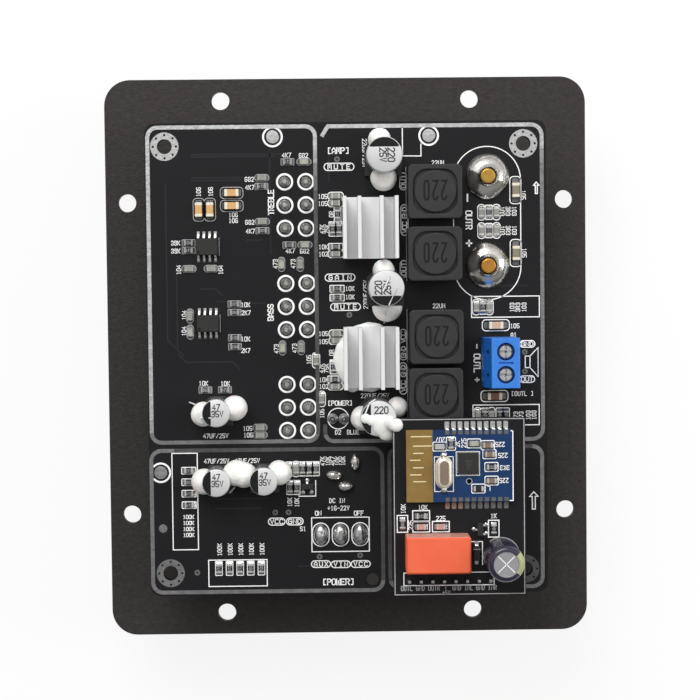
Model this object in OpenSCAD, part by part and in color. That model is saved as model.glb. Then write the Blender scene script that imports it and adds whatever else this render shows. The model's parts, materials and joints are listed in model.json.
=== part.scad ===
// Panel-mounted stereo amplifier board: a steel panel carries one printed board on its
// controls and jacks, and a small plug-in receiver board stands above it.
// Origin: centre of the panel's inner face. +Z points to the boards, -Z to the user.

/* [Panel] */
// Panel width
panel_w = 112; // [108:1:130]
// Panel height
panel_h = 130; // [124:1:150]
// Panel sheet thickness
panel_t = 2; // [1.5:0.1:3]
// Panel corner radius
panel_r = 6; // [2:0.5:8]
// Diameter of the eight fixing holes
fix_hole_d = 4.2; // [3.2:0.1:5]
// Distance from the panel edge to the fixing holes
fix_inset = 5; // [4:0.1:6]
// Spacing of the fixing holes along the short edges
end_hole_spacing = 58; // [40:1:80]
// Spacing of the fixing holes along the long edges
side_hole_spacing = 73; // [50:1:90]

/* [Main board] */
// Main board width
board_w = 90; // [88:0.5:96]
// Main board height
board_h = 106.5; // [105:0.5:112]
// Main board thickness
board_t = 1.6; // [1:0.1:2.4]
// Free height between panel and main board
board_gap = 14; // [13.5:0.5:20]
// Main board corner radius
board_r = 2.2; // [1:0.1:4]
// Inset of the board's corner holes from its long edges
board_hole_inset_x = 4.8; // [4.6:0.1:5.4]
// Inset of the board's corner holes from its short edges
board_hole_inset_y = 5.2; // [4.6:0.1:5.4]
// Diameter of the board's corner holes
board_hole_d = 3.2; // [2.5:0.1:3.5]

/* [Tone and volume controls] */
// Spacing of the three controls
pot_pitch = 22.75; // [22:0.25:24]
// Diameter of a control's case
pot_d = 16.5; // [15:0.25:17]
// Depth of a control's case
pot_depth = 12; // [11:0.5:13]
// Spacing of a control's pins along a row
pot_pin_pitch = 5.2; // [4:0.1:5.5]
// Spacing of a control's two pin rows
pot_row_pitch = 4.75; // [4:0.25:5]
// Diameter of the threaded bush
bush_d = 7; // [6.8:0.1:8]
// Diameter of the control shaft
shaft_d = 6; // [5:0.1:6]
// Knob diameter
knob_d = 16; // [15.5:0.5:19]
// Knob height
knob_h = 15; // [12:0.5:20]
// Number of flutes round a knob
knob_flutes = 18; // [12:1:24]

/* [Power switch] */
// Length of the switch body
switch_l = 13.2; // [12.5:0.1:14]
// Width of the switch body
switch_w = 7.9; // [7:0.1:9]
// Lever length beyond its pivot
lever_len = 11; // [8:0.5:14]
// Lean of the lever to either side, in degrees
lever_lean = 12; // [8:1:14]

/* [Speaker posts] */
// Spacing of the two speaker posts
post_spacing = 20; // [19:0.5:22]
// Diameter of a post's rear rod
post_rod_d = 3.6; // [3:0.1:4.4]
// Bore of the plug socket in a post
post_socket_d = 4.1; // [4:0.05:4.3]
// Diameter of a screw cap
cap_d = 13; // [12.5:0.5:15]
// Length of a screw cap
cap_len = 13; // [12:0.5:16]

/* [Jacks] */
// Bore of the power inlet
inlet_bore_d = 6.3; // [5.9:0.1:6.6]
// Diameter of the power inlet's centre pin
inlet_pin_d = 2.1; // [1.6:0.1:2.5]
// Spacing of the two line inputs
line_spacing = 14; // [13:0.5:16]
// Outside diameter of a line input's shell
line_shell_d = 8.3; // [8.1:0.05:8.5]

/* [Power parts] */
// Side of a square inductor
inductor_w = 11.9; // [11:0.1:12.4]
// Height of an inductor
inductor_h = 8; // [5:0.5:8]
// Diameter of a large capacitor
big_can_d = 8; // [7:0.1:8.3]
// Height of a large capacitor
big_can_h = 10; // [8:0.2:10]
// Diameter of a small capacitor
small_can_d = 6.3; // [5:0.1:6.5]
// Height of a small capacitor
small_can_h = 7.7; // [5.5:0.1:9]
// Heat sink width
sink_w = 12.2; // [11:0.1:12.8]
// Heat sink length
sink_l = 13.7; // [12:0.1:14]
// Heat sink height
sink_h = 9; // [5:0.5:10]
// Heat sink fin thickness
fin_t = 0.8; // [0.5:0.1:1]

/* [Speaker terminal] */
// Spacing of the terminal's two poles
terminal_pitch = 5.08; // [5:0.02:5.2]
// Height of the terminal
terminal_h = 10; // [9.5:0.25:12]
// Diameter of a terminal screw's head
terminal_head_d = 3.3; // [2.8:0.1:3.5]

/* [Receiver board] */
// Receiver board width
carrier_w = 29; // [28:0.5:32]
// Receiver board height
carrier_h = 39; // [38.5:0.5:40]
// Height of the socket under the receiver board
socket_h = 8.5; // [8.2:0.1:12]
// Radio module length
module_w = 23.4; // [23:0.1:25]
// Radio module width
module_h = 15.8; // [15:0.1:16]
// Relay length
relay_l = 14; // [12:0.1:14.4]
// Relay width
relay_w = 8; // [7:0.1:8.2]
// Relay height
relay_h = 6.5; // [5:0.5:12]
// Height of the receiver board's capacitor
tall_can_h = 11.5; // [8:0.5:14]

/* [Fits] */
// Radial clearance of a turning or sliding fit
run_gap = 0.05; // [0.02:0.01:0.08]
// Radial clearance of pieces that are fixed together
fix_gap = 0.1; // [0.05:0.01:0.15]
// Clearance round soft sealant and free-moving ends
free_gap = 0.3; // [0.2:0.05:0.4]

/* [Hidden] */
$fn = 48;

// Play between stacked fasteners
seat_gap = 0.02;

// Levels along Z
front = -panel_t;
board_top = board_gap + board_t;
header_h = 2.5;
carrier_t = 1.6;
carrier_z = board_top + socket_h + header_h;
carrier_top = carrier_z + carrier_t;
module_t = 1;
module_top = carrier_top + module_t;

// Places on the panel and the main board
board_at = [-0.2, 0.3];
board_holes_at = [-0.5, 0.3];
pot_x = -23;
pot_mid_y = 12.3;
pot_row_x = 9.1;
switch_at = [-2.2, -39.4];
inlet_at = [-1.2, -25.6];
led_at = [-2.45, -13.1];
line_at = [24, -35];
post_at = [31.5, 31];
terminal_at = [33.8, -0.5];
sink_upper_at = [5.1, 29.7];
sink_lower_at = [5, 0.8];
inductor_at = [[19.4, 37.5], [19.3, 23.8], [19.5, 5.4], [19.3, -7.5]];
big_can_at = [[8.2, 45.5], [8.4, 16.3], [6.4, -12.4]];
small_can_at = [[-29.5, -11], [-29.7, -26.5], [-19.2, -26.3]];
op_amp_at = [[-31.5, 25.9], [-31.5, 8.7]];

// Places on the receiver board
carrier_at = [23.8, -31.7];
header_at = [21.6, -48];
module_at = [23.9, -22.6];
radio_chip_at = [25.7, -22];
crystal_at = [20.4, -24];
relay_at = [18.8, -41.4];
tall_can_at = [32.9, -42.6];

// Control details
pots_y = [pot_mid_y + pot_pitch, pot_mid_y, pot_mid_y - pot_pitch];
pin_d = 1;
pin_hole_d = pin_d + 0.3;
pin_tip = 1.6;
nut_h = 2;
washer_t = 0.5;
pot_nut_d = 11.5;
bush_len = panel_t + washer_t + nut_h + 0.7;
shaft_tail = 1;
knob_gap = 0.8;
knob_recess = 4.4;
knob_roof = 2;
flute_d = 1.8;
shaft_flat = 0.75;

// Switch details
switch_depth = 9.5;
switch_bush_d = 6;
switch_bush_len = panel_t + nut_h + 4;
switch_bore_d = 4.4;
switch_pivot_z = -switch_bush_len + 2;
switch_lug_pitch = 4.45;
lug = [2.2, 0.8];
lug_gap = 0.3;

// Speaker post details
post_base_d = 13;
post_base_h = 3;
post_neck_d = 8;
post_flange_d = 10;
post_flange_h = 1.5;
post_sleeve_d = post_socket_d + 2;
post_sleeve_len = cap_len + 0.6;
post_socket_depth = post_sleeve_len - 3.4;
wire_hole_d = 1.6;
cap_wall = 1.5;
insert_d = post_sleeve_d + 3;
post_flange_z = front - post_base_h - post_flange_h;
post_washer_d = 12;
post_washer_t = 1.5;
post_nut_d = post_rod_d * 2.1;
post_nut_h = 3.2;
post_tip = 3.4;
post_tip_edge = 0.4;
post_dome_r = 5;
post_dome_h = 2.6;

// Power inlet, indicator and line input details
inlet_nose_d = inlet_bore_d + 2;
inlet_nose = 1;
inlet_depth = 9.5;
inlet_side = 10.6;
inlet_seat = 1.5;
led_d = 3;
led_flange_d = 3.8;
led_nose = 0.9;
line_nose_d = line_shell_d + 2.4;
line_nose = 1.5;
line_shell_len = 8.5;
line_shell_wall = 0.5;
line_root_d = line_shell_d - 0.4;
line_root_len = panel_t + line_nose + 2;

// Terminal details
terminal_w = 7.7;
terminal_len = 2 * terminal_pitch + 0.84;
terminal_screw_x = 0.7;
terminal_chamber = 4.2;
chamber_floor = 1;
chamber_top = terminal_h - 3.2;
clamp_size = [3.6, 3.8, 3.8];
clamp_wall = 0.8;
shank_d = 2.4;
head_h = 1.6;
head_ledge = 1;

// Moulded base of a capacitor can: thickness and what it adds to the can's width
can_base_t = 1.2;
can_base_lip = 0.3;

// Chip sizes: small chips, large ceramic chips, and the bodies of the larger packages
chip = [2, 1.25, 0.6];
big_chip = [3.2, 1.6, 1.3];
op_amp = [4.9, 3.8, 1.5];
amp_chip = [6.1, 11, 1.1];
radio_chip = [4.4, 4.6, 0.9];

// Resistors on the main board: place and turn
resistor_at = concat(
    [[-19.1, 39.3, 0], [-19, 29.4, 0], [-13.2, 44.7, 0], [-13, 26.1, 0]],
    [[-35.6, 26.8, 0], [-35.6, 25.1, 0], [-32.3, -6.3, 0], [-27.9, -6.3, 0]],
    [for (y = [13, 11.1, 5.4, 3.4]) [-25.5, y, 0]],
    [[-2.1, 32.9, 90], [-3.3, 29.6, 90], [-1.8, 29.6, 90], [-2.6, 25.6, 0]],
    [[-2.4, 16.2, 0], [-2.4, 14.2, 0], [-3.1, -4.2, 0], [-3.4, -1.4, 90]],
    [for (i = [0:3]) [-36.3, -24.5 - 2.6 * i, 0]],
    [for (i = [0:4]) [-29.8 + 2.4 * i, -46.8, 90]],
    [for (x = [-13.6, -10.6, -9.1, -7.6]) [x, -24.4, 90]],
    [[-13.5, -28.6, 90], [-12, -28.6, 90]],
    [[31.9, 33, 90], [31.9, 28.9, 90], [30.4, 11.7, 90]],
    [for (x = [30.7, 34, 35.5]) [x, -12.7, 90]]
);
// Small ceramic capacitors on the main board: place and turn
capacitor_at = concat(
    [[-19, 41.2, 0], [-19, 31.4, 0], [-9.5, 44.7, 0], [-9.5, 26.1, 0]],
    [for (x = [-14.8, -10.6]) for (y = [21.8, 3]) [x, y, 90]],
    [[-35.6, 21, 0], [-30.6, 21, 0], [-35.5, 10.4, 90], [-35.5, 6.8, 90]],
    [[-20.1, -14.9, 0], [-20.1, -16.6, 0], [-7.3, 0.1, 90], [-6.1, -8.6, 90]],
    [[-2.5, 37, 0], [-2.5, 35.4, 0], [-2.6, 24, 0]],
    [[-2.6, 6.1, 0], [-2.6, 4.5, 0], [-3, -5.8, 0]],
    [[-12.1, -24.4, 90]],
    [for (x = [30.2, 33.6]) for (y = [33, 28.9]) [x, y, 90]],
    [[28.9, 11.7, 90], [31.9, 11.7, 90], [29.1, -12.7, 90], [32.2, -12.7, 90]]
);
// Large ceramic capacitors on the main board: place and turn
big_chip_at = [
    [-33.2, 34.2, 90], [-30.7, 34.2, 90], [-25.8, 37.9, 0], [-25.8, 35, 0],
    [37.9, 37.9, 90], [37.9, 23.8, 90], [33.3, 7.6, 0], [32.9, -8.4, 0]
];
// Chips on the receiver board and on the radio module: place and turn
carrier_resistor_at = [[11.3, -35.3, 90], [31.3, -36.6, 90], [15.4, -33.6, 0]];
carrier_capacitor_at = [[15.4, -36, 0], [19.7, -36, 0]];
radio_part_at = [
    [27, -17.7, 0], [30, -18.1, 0], [30.4, -20.1, 0], [30.8, -22.9, 0],
    [30.8, -25.9, 0], [27.9, -27.6, 0], [19.5, -18.3, 0], [22, -17.7, 90]
];
transistor_at = [-9.6, -28.4, -90];
carrier_transistor_at = [28.3, -36.7];
diode_at = [27.5, -41.9];

// Sealant that locks the capacitors: place, radius and height of each bead
small_beads = [
    [-32.6, -11.5, 2.8, 6.4], [-25.6, -10.2, 2.9, 7], [-32.6, -26.4, 2.7, 6.4],
    [-24.3, -25.3, 3.4, 7.2], [-16.2, -24.9, 2.6, 7]
];
big_beads = [
    [7.2, 49.3, 2.6, 7.5], [8, 40.9, 2.9, 8], [7.9, 20.2, 2.4, 8],
    [8.7, 11.7, 3.2, 7.5], [3.1, -12.8, 2.7, 7], [10.6, -10.2, 2.1, 8.5]
];
// Beads that lie on the third large capacitor and on the receiver board's corner
cap_bead = [6, -13.4, 2.7, 0.6];
corner_bead = [11, -13.9, 1.5, 1.1];
// Sealant pressed out round the lower heat sink
pool_beads = [[3.9, 0.3, 7.4, 3.2], [5, 3.4, 5.3, 3]];

// Pins that come up through the main board
function pot_pins(y) = [
    for (row = [0, 1]) for (i = [-1, 0, 1])
        [pot_x + pot_row_x + row * pot_row_pitch, y + i * pot_pin_pitch]
];
led_pitch = 2.54;
led_pins = [for (s = [-1, 1]) led_at + [s * led_pitch / 2, 0]];
lines = [for (s = [-1, 1]) line_at + [s * line_spacing / 2, 0]];
line_pins = [for (p = lines) for (s = [-1, 1]) p + [0, s * 4]];
round_pins = concat([for (y = pots_y) each pot_pins(y)], led_pins, line_pins);
// Flat lugs: place and turn
inlet_lugs = [[1.3, -23, 90], [-3.5, -25.9, 0], [-1, -28.4, 0]];
switch_lugs = [for (i = [-1, 0, 1]) [switch_at[0] + i * switch_lug_pitch, switch_at[1], 90]];
lugs = concat(inlet_lugs, switch_lugs);
posts = [for (s = [1, -1]) post_at + [0, s * post_spacing / 2]];
header_pitch = 2.54;
header_n = 8;
header_pins = [
    for (i = [0:header_n - 1]) header_at + [(i - (header_n - 1) / 2) * header_pitch, 0]
];
header_pin_w = 0.64;
header_hole_d = 1;
terminal_poles = [
    for (s = [1, -1]) terminal_at + [terminal_screw_x, s * terminal_pitch / 2]
];

// Shared shapes

module rounded_rect(w, h, r) {
    square([w - 2 * r, h], center = true);
    square([w, h - 2 * r], center = true);
    for (x = [-1, 1]) for (y = [-1, 1])
        translate([x * (w / 2 - r), y * (h / 2 - r)]) circle(r);
}

module slab(w, h, t, r) {
    linear_extrude(t) rounded_rect(w, h, r);
}

module at(p, z = 0) {
    translate([p[0], p[1], z]) rotate(len(p) > 2 ? p[2] : 0) children();
}

// Turn a shape over so that it grows towards the user
module outward(z) {
    translate([0, 0, z]) mirror([0, 0, 1]) children();
}

module tube(outer_d, inner_d, h) {
    difference() {
        cylinder(d = outer_d, h = h);
        translate([0, 0, -1]) cylinder(d = inner_d, h = h + 2);
    }
}

module hex_nut(across_d, bore_d, h) {
    difference() {
        cylinder(d = across_d, h = h, $fn = 6);
        translate([0, 0, -1]) cylinder(d = bore_d, h = h + 2);
    }
}

module flutes(n, r, d, h) {
    for (i = [0:n - 1])
        rotate(i * 360 / n) translate([r + d / 4, 0, -1]) cylinder(d = d, h = h + 2, $fn = 24);
}

// Panel and main board

module back_panel() {
    color("#333335") outward(0) difference() {
        slab(panel_w, panel_h, panel_t, panel_r);
        translate([0, 0, -1]) linear_extrude(panel_t + 2) panel_holes();
    }
}

module panel_holes() {
    for (x = [-1, 1]) for (y = [-1, 1]) {
        translate([x * end_hole_spacing / 2, y * (panel_h / 2 - fix_inset)]) circle(d = fix_hole_d);
        translate([x * (panel_w / 2 - fix_inset), y * side_hole_spacing / 2]) circle(d = fix_hole_d);
    }
    for (y = pots_y) translate([pot_x, y]) circle(d = bush_d + 2 * fix_gap);
    translate(switch_at) circle(d = switch_bush_d + 2 * fix_gap);
    translate(inlet_at) circle(d = inlet_nose_d + 2 * fix_gap);
    translate(led_at) circle(d = led_d + 2 * fix_gap);
    for (p = lines) translate(p) circle(d = line_nose_d + 2 * fix_gap);
    for (p = posts) translate(p) circle(d = post_neck_d + 2 * fix_gap);
}

module main_board() {
    color("#232326") translate([0, 0, board_gap]) difference() {
        translate(board_at) slab(board_w, board_h, board_t, board_r);
        translate([0, 0, -1]) linear_extrude(board_t + 2) board_holes();
    }
}

module board_holes() {
    half_w = board_w / 2 - board_hole_inset_x;
    half_h = board_h / 2 - board_hole_inset_y;
    for (x = [-1, 1]) for (y = [-1, 1])
        translate(board_holes_at + [x * half_w, y * half_h]) circle(d = board_hole_d);
    for (p = round_pins) translate(p) circle(d = pin_hole_d);
    for (p = posts) translate(p) circle(d = post_rod_d + 2 * fix_gap);
    for (p = lugs) at(p) square(lug + [lug_gap, lug_gap], center = true);
}

// Tone and volume controls: two gangs in one case, pins bent up to the board

module pot(y) {
    r = pot_d / 2;
    step = 0.6;
    rim = 1.2;
    gang = (pot_depth - 2 * rim - step) / 2;
    color("silver") translate([pot_x, y, 0]) difference() {
        union() {
            outward(0) cylinder(d = bush_d, h = bush_len);
            rotate_extrude() polygon([
                [0, 0], [r, 0], [r, rim], [r - step, rim], [r - step, rim + gang],
                [r, rim + gang], [r, rim + gang + step], [r - step, rim + gang + step],
                [r - step, pot_depth - rim], [r - 2 * step, pot_depth], [0, pot_depth]
            ]);
            pot_terminals(rim + gang / 2, rim + step + 1.5 * gang);
        }
        translate([0, 0, -bush_len - 1])
            cylinder(d = shaft_d + 2 * run_gap, h = bush_len + 1 + shaft_tail + free_gap);
    }
}

// The front gang feeds the far pin row, the rear gang the near one
module pot_terminals(front_z, rear_z) {
    tongue_t = 0.6;
    tongue_w = 1.4;
    for (i = [-1, 0, 1]) for (row = [0, 1]) {
        z = row == 0 ? rear_z : front_z;
        reach = pot_row_x + row * pot_row_pitch;
        translate([0, i * pot_pin_pitch - tongue_w / 2, z]) cube([reach, tongue_w, tongue_t]);
        translate([reach, i * pot_pin_pitch, z])
            cylinder(d = pin_d, h = board_top + pin_tip - z);
    }
}

module pot_shaft(y) {
    len = panel_t + knob_gap + knob_h - knob_roof - free_gap;
    flat_from = panel_t + knob_gap + knob_recess + 0.5;
    color("gainsboro") translate([pot_x, y, 0]) difference() {
        translate([0, 0, -len]) cylinder(d = shaft_d, h = len + shaft_tail);
        translate([shaft_d / 2 - shaft_flat, -shaft_d, -len - 1])
            cube([shaft_d, 2 * shaft_d, len - flat_from + 1]);
    }
}

module knob(y) {
    r = knob_d / 2;
    edge = 1.2;
    recess_d = pot_nut_d + 1.2;
    pointer_w = 0.8;
    pointer_depth = 0.5;
    bore_d = shaft_d + 2 * fix_gap;
    color("#262628") translate([pot_x, y, 0]) outward(front - knob_gap) difference() {
        rotate_extrude() polygon([
            [0, 0], [r, 0], [r, knob_h - edge], [r - edge, knob_h], [0, knob_h]
        ]);
        translate([0, 0, -1]) cylinder(d = recess_d, h = knob_recess + 1);
        difference() {
            cylinder(d = bore_d, h = knob_h - knob_roof);
            translate([shaft_d / 2 - shaft_flat + fix_gap, -shaft_d, knob_recess + 0.5 + free_gap])
                cube([shaft_d, 2 * shaft_d, knob_h]);
        }
        difference() {
            flutes(knob_flutes, r, flute_d, knob_h);
            translate([0, 0, -2]) cylinder(r = r + flute_d, h = 2 + knob_recess + 1);
        }
        translate([0, -pointer_w / 2, knob_h - pointer_depth]) cube([r, pointer_w, 1]);
    }
}

module pot_fasteners() {
    bore_d = bush_d + 2 * fix_gap;
    color("silver") for (y = pots_y) translate([pot_x, y, 0]) {
        outward(front) tube(pot_nut_d, bore_d, washer_t);
        outward(front - washer_t - seat_gap) hex_nut(pot_nut_d, bore_d, nut_h);
    }
}

// Power switch

module switch_body() {
    bracket_t = 0.8;
    color("#27508f") at(switch_at) difference() {
        union() {
            slab(switch_l, switch_w, bracket_t, 0.5);
            translate([0, 0, bracket_t])
                slab(switch_l - 0.4, switch_w - 0.4, switch_depth - bracket_t, 0.6);
            outward(0) cylinder(d = switch_bush_d, h = switch_bush_len);
            for (p = switch_lugs) translate([p[0] - switch_at[0], 0, switch_depth]) blade(90);
        }
        translate([0, 0, -switch_bush_len - 1])
            cylinder(d = switch_bore_d, h = switch_bush_len + 1 + 0.5);
    }
}

// Flat lug that reaches through the main board from the level it starts at
module blade(turn, from_z = switch_depth) {
    h = board_top + pin_tip - from_z;
    rotate(turn) translate([-lug[0] / 2, -lug[1] / 2, 0]) cube([lug[0], lug[1], h]);
}

module switch_lever() {
    ball_d = switch_bore_d - 2 * free_gap;
    neck_d = 2.2;
    bat_d = 3.4;
    tail = 2.5;
    color("silver") translate([switch_at[0], switch_at[1], switch_pivot_z]) rotate([0, lever_lean, 0]) {
        sphere(d = ball_d);
        translate([0, 0, -0.1]) cylinder(d = neck_d - 0.6, h = tail);
        mirror([0, 0, 1]) rotate_extrude() polygon([
            [0, 0], [neck_d / 2, 0], [neck_d / 2, 2.6], [bat_d / 2, lever_len - 1.2],
            [bat_d / 2 - 0.2, lever_len - 0.5], [bat_d / 2 - 0.9, lever_len], [0, lever_len]
        ]);
    }
}

module switch_nut() {
    color("silver") at(switch_at) outward(front)
        hex_nut(switch_bush_d + 3.2, switch_bush_d + 2 * fix_gap, nut_h);
}

// Power inlet and indicator

module power_inlet() {
    color("#1d1d1f") difference() {
        union() {
            at(inlet_at) slab(inlet_side, inlet_side, board_gap, 1);
            at(inlet_at) outward(0) cylinder(d = inlet_nose_d, h = panel_t + inlet_nose);
            for (p = inlet_lugs) translate([p[0], p[1], board_gap]) blade(p[2], board_gap);
        }
        at(inlet_at) translate([0, 0, front - inlet_nose - 1])
            cylinder(d = inlet_bore_d, h = inlet_depth + 1);
        at(inlet_at) translate([0, 0, front - inlet_nose])
            cylinder(d = inlet_pin_d + 2 * fix_gap, h = inlet_depth + inlet_seat);
    }
}

module power_inlet_pin() {
    len = inlet_depth + inlet_seat - 1;
    color("silver") at(inlet_at) translate([0, 0, front - inlet_nose + 1]) {
        translate([0, 0, inlet_pin_d / 2]) cylinder(d = inlet_pin_d, h = len - inlet_pin_d / 2);
        translate([0, 0, inlet_pin_d / 2]) sphere(d = inlet_pin_d);
    }
}

module power_led() {
    lead_d = 0.6;
    color("#9fc4ff") at(led_at) {
        cylinder(d = led_flange_d, h = 1);
        outward(0) cylinder(d = led_d, h = panel_t + led_nose);
        translate([0, 0, front - led_nose]) sphere(d = led_d);
        for (s = [-1, 1]) translate([s * led_pitch / 2, 0, 0.5])
            cylinder(d = lead_d, h = board_top + pin_tip - 0.5);
    }
}

// Line inputs

module line_input_housing() {
    block_w = line_spacing + line_nose_d + 3;
    block_h = 13;
    color("#1d1d1f") difference() {
        union() {
            at(line_at) slab(block_w, block_h, board_gap, 1);
            for (p = lines) at(p) outward(0) cylinder(d = line_nose_d, h = panel_t + line_nose);
            for (p = line_pins) at(p, board_gap) cylinder(d = pin_d, h = board_t + pin_tip);
        }
        for (p = lines) at(p, front - line_nose - 1)
            cylinder(d = line_root_d + 2 * fix_gap, h = line_root_len + 1);
    }
}

// A stepped tube: the plug goes over the front, the thinner root sits in the housing
module line_input_shells() {
    inner_d = line_root_d - 2 * line_shell_wall;
    color("silver") for (p = lines) at(p, front - line_nose) {
        tube(line_root_d, inner_d, line_root_len);
        outward(0) tube(line_shell_d, inner_d, line_shell_len);
    }
}

module line_input_inserts() {
    recess = 1.2;
    contact_d = 3.3;
    len = line_root_len + line_shell_len - recess;
    color("white") for (p = lines) at(p, front - line_nose - line_shell_len + recess)
        difference() {
            cylinder(d = line_root_d - 2 * line_shell_wall - 2 * fix_gap, h = len);
            translate([0, 0, -1]) cylinder(d = contact_d, h = len - 1);
        }
}

// Speaker posts: a stud through the panel, with a plug socket and a screw cap in front

module post_stud(p) {
    rod_len = board_top + post_tip - post_flange_z;
    color("#b58b3a") at(p) difference() {
        union() {
            translate([0, 0, post_flange_z]) cylinder(d = post_rod_d, h = rod_len - post_tip_edge);
            translate([0, 0, post_flange_z + rod_len - post_tip_edge])
                cylinder(d1 = post_rod_d, d2 = post_rod_d - 2 * post_tip_edge, h = post_tip_edge);
            translate([0, 0, post_flange_z]) cylinder(d = post_flange_d, h = post_flange_h);
            outward(post_flange_z) cylinder(d = post_sleeve_d, h = post_sleeve_len);
        }
        translate([0, 0, post_flange_z - post_sleeve_len - 1])
            cylinder(d = post_socket_d, h = post_socket_depth + 1);
        translate([0, 0, post_flange_z - 1.7]) rotate([0, 90, 0])
            cylinder(d = wire_hole_d, h = 2 * post_sleeve_d, center = true);
    }
}

module post_bush(p, shade) {
    color(shade) at(p) difference() {
        union() {
            outward(front) cylinder(d = post_base_d, h = post_base_h);
            outward(0) cylinder(d = post_neck_d, h = panel_t);
        }
        translate([0, 0, -panel_t - post_base_h - 1])
            cylinder(d = post_rod_d + 2 * fix_gap, h = panel_t + post_base_h + 2);
    }
}

module post_insert(p) {
    color("#b58b3a") at(p) outward(post_flange_z - free_gap)
        tube(insert_d, post_sleeve_d + 2 * run_gap, cap_len - cap_wall - free_gap);
}

module post_cap(p, shade) {
    n = 20;
    r = cap_d / 2;
    edge = 1;
    color(shade) at(p) outward(post_flange_z - free_gap) difference() {
        rotate_extrude() polygon([
            [0, 0], [r - edge / 2, 0], [r, edge / 2], [r, cap_len - edge], [r - edge, cap_len],
            [0, cap_len]
        ]);
        translate([0, 0, -1]) cylinder(d = insert_d + 2 * run_gap, h = cap_len - cap_wall + 1);
        cylinder(d = post_sleeve_d + 2 * free_gap, h = cap_len + 1);
        flutes(n, r, 1.1, cap_len);
    }
}

module post_fasteners() {
    bore_d = post_rod_d + 2 * fix_gap;
    color("#b58b3a") for (p = posts) at(p) {
        tube(post_washer_d, bore_d, post_washer_t);
        translate([0, 0, post_washer_t + seat_gap]) hex_nut(post_nut_d, bore_d, post_nut_h);
    }
}

// Quarter-round outline of a solder dome, from its foot to its top
function dome_points(inner_r, r, h, n = 6) = concat(
    [[inner_r, 0]],
    [for (i = [0:n]) let (a = 90 * i / n) [inner_r + (r - inner_r) * cos(a), h * sin(a)]]
);

module post_solder() {
    color("#d8d8da") for (p = posts) at(p, board_top)
        rotate_extrude() polygon(dome_points(post_rod_d / 2 + fix_gap, post_dome_r, post_dome_h));
}

// Solder joints

module solder_cone(bore_d, foot_d, h) {
    inner = bore_d / 2;
    foot = foot_d / 2;
    rotate_extrude() polygon([
        [inner, 0], [foot, 0], [foot - 0.05, 0.15], [inner + (foot - inner) * 0.45, h * 0.4],
        [inner + 0.12, h * 0.9], [inner, h]
    ]);
}

// Long solder joint round a flat lug
module solder_oval(l, w, h) {
    outline = dome_points(0, w / 2, h);
    run = l - w;
    difference() {
        union() {
            for (s = [-1, 1]) translate([s * run / 2, 0, 0]) rotate_extrude() polygon(outline);
            translate([run / 2, 0, 0]) rotate([90, 0, -90]) linear_extrude(run) {
                polygon(outline);
                mirror([1, 0]) polygon(outline);
            }
        }
        translate([-lug[0] / 2 - fix_gap, -lug[1] / 2 - fix_gap, -1])
            cube([lug[0] + 2 * fix_gap, lug[1] + 2 * fix_gap, h + 2]);
    }
}

module solder_joints() {
    foot_d = 2.5;
    cone_h = 1.2;
    inlet_size = [4, 2.4, 1.2];
    switch_size = [4.8, 3.2, 1.2];
    dome = [0.9, 1];
    color("#c9c9cc") {
        for (p = round_pins) at(p, board_top) solder_cone(pin_d + 2 * fix_gap, foot_d, cone_h);
        for (p = inlet_lugs) at(p, board_top) solder_oval(inlet_size[0], inlet_size[1], inlet_size[2]);
        for (p = switch_lugs) at(p, board_top) solder_oval(switch_size[0], switch_size[1], switch_size[2]);
        for (p = header_pins) at(p, carrier_top) solder_cone(header_hole_d, 1.9, 0.9);
        for (p = concat(header_pins, terminal_poles)) at(p) outward(board_gap)
            rotate_extrude() polygon(dome_points(0, dome[0], dome[1]));
    }
}

// Speaker terminal: housing, captive screws and rising clamps

module terminal_block() {
    side = terminal_w / 2;
    well_d = terminal_head_d + 2 * free_gap;
    entry = [3, 3];
    groove = [3.2, 0.5, 0.4];
    half = terminal_chamber / 2;
    color("#1f6fd0") at(terminal_at, board_top) difference() {
        translate([0, terminal_len / 2, 0]) rotate([90, 0, 0]) linear_extrude(terminal_len) polygon([
            [-side, 0], [side, 0], [side, terminal_h - 0.3], [side - 0.3, terminal_h],
            [1.4 - side, terminal_h], [-side, terminal_h - 4]
        ]);
        for (s = [-1, 1]) translate([terminal_screw_x, s * terminal_pitch / 2, 0]) {
            translate([-half, -half, chamber_floor])
                cube([terminal_chamber, terminal_chamber, chamber_top - chamber_floor]);
            cylinder(d = shank_d + 2 * fix_gap, h = terminal_h);
            translate([0, 0, chamber_top + head_ledge]) cylinder(d = well_d, h = terminal_h);
            translate([-terminal_w, -entry[0] / 2, chamber_floor + 0.4])
                cube([terminal_w, entry[0], entry[1]]);
        }
        translate([terminal_screw_x - groove[0] / 2, -groove[1] / 2, terminal_h - groove[2]]) cube(groove);
    }
}

module terminal_screw(pole) {
    slot = [0.5, 0.8];
    shank_end = 4.4;
    head_z = chamber_top + head_ledge + run_gap;
    color("gainsboro") at(terminal_poles[pole], board_top) difference() {
        union() {
            translate([0, 0, head_z]) cylinder(d = terminal_head_d, h = head_h);
            translate([0, 0, shank_end]) cylinder(d = shank_d, h = head_z - shank_end);
        }
        for (turn = [0, 90]) rotate(turn)
            translate([-terminal_head_d, -slot[0] / 2, head_z + head_h - slot[1]])
                cube([2 * terminal_head_d, slot[0], 1]);
    }
}

module terminal_clamp(pole) {
    size = clamp_size;
    roof = 1.2;
    window = [size[1] - 2 * clamp_wall, size[2] - roof - clamp_wall];
    color("silver") at(terminal_poles[pole], board_top + chamber_floor + fix_gap) difference() {
        translate([-size[0] / 2, -size[1] / 2, 0]) cube(size);
        translate([-size[0], -window[0] / 2, clamp_wall]) cube([2 * size[0], window[0], window[1]]);
        translate([0, 0, clamp_wall]) cylinder(d = shank_d + 2 * run_gap, h = size[2]);
    }
}

// Amplifier chips under finned heat sinks

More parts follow.
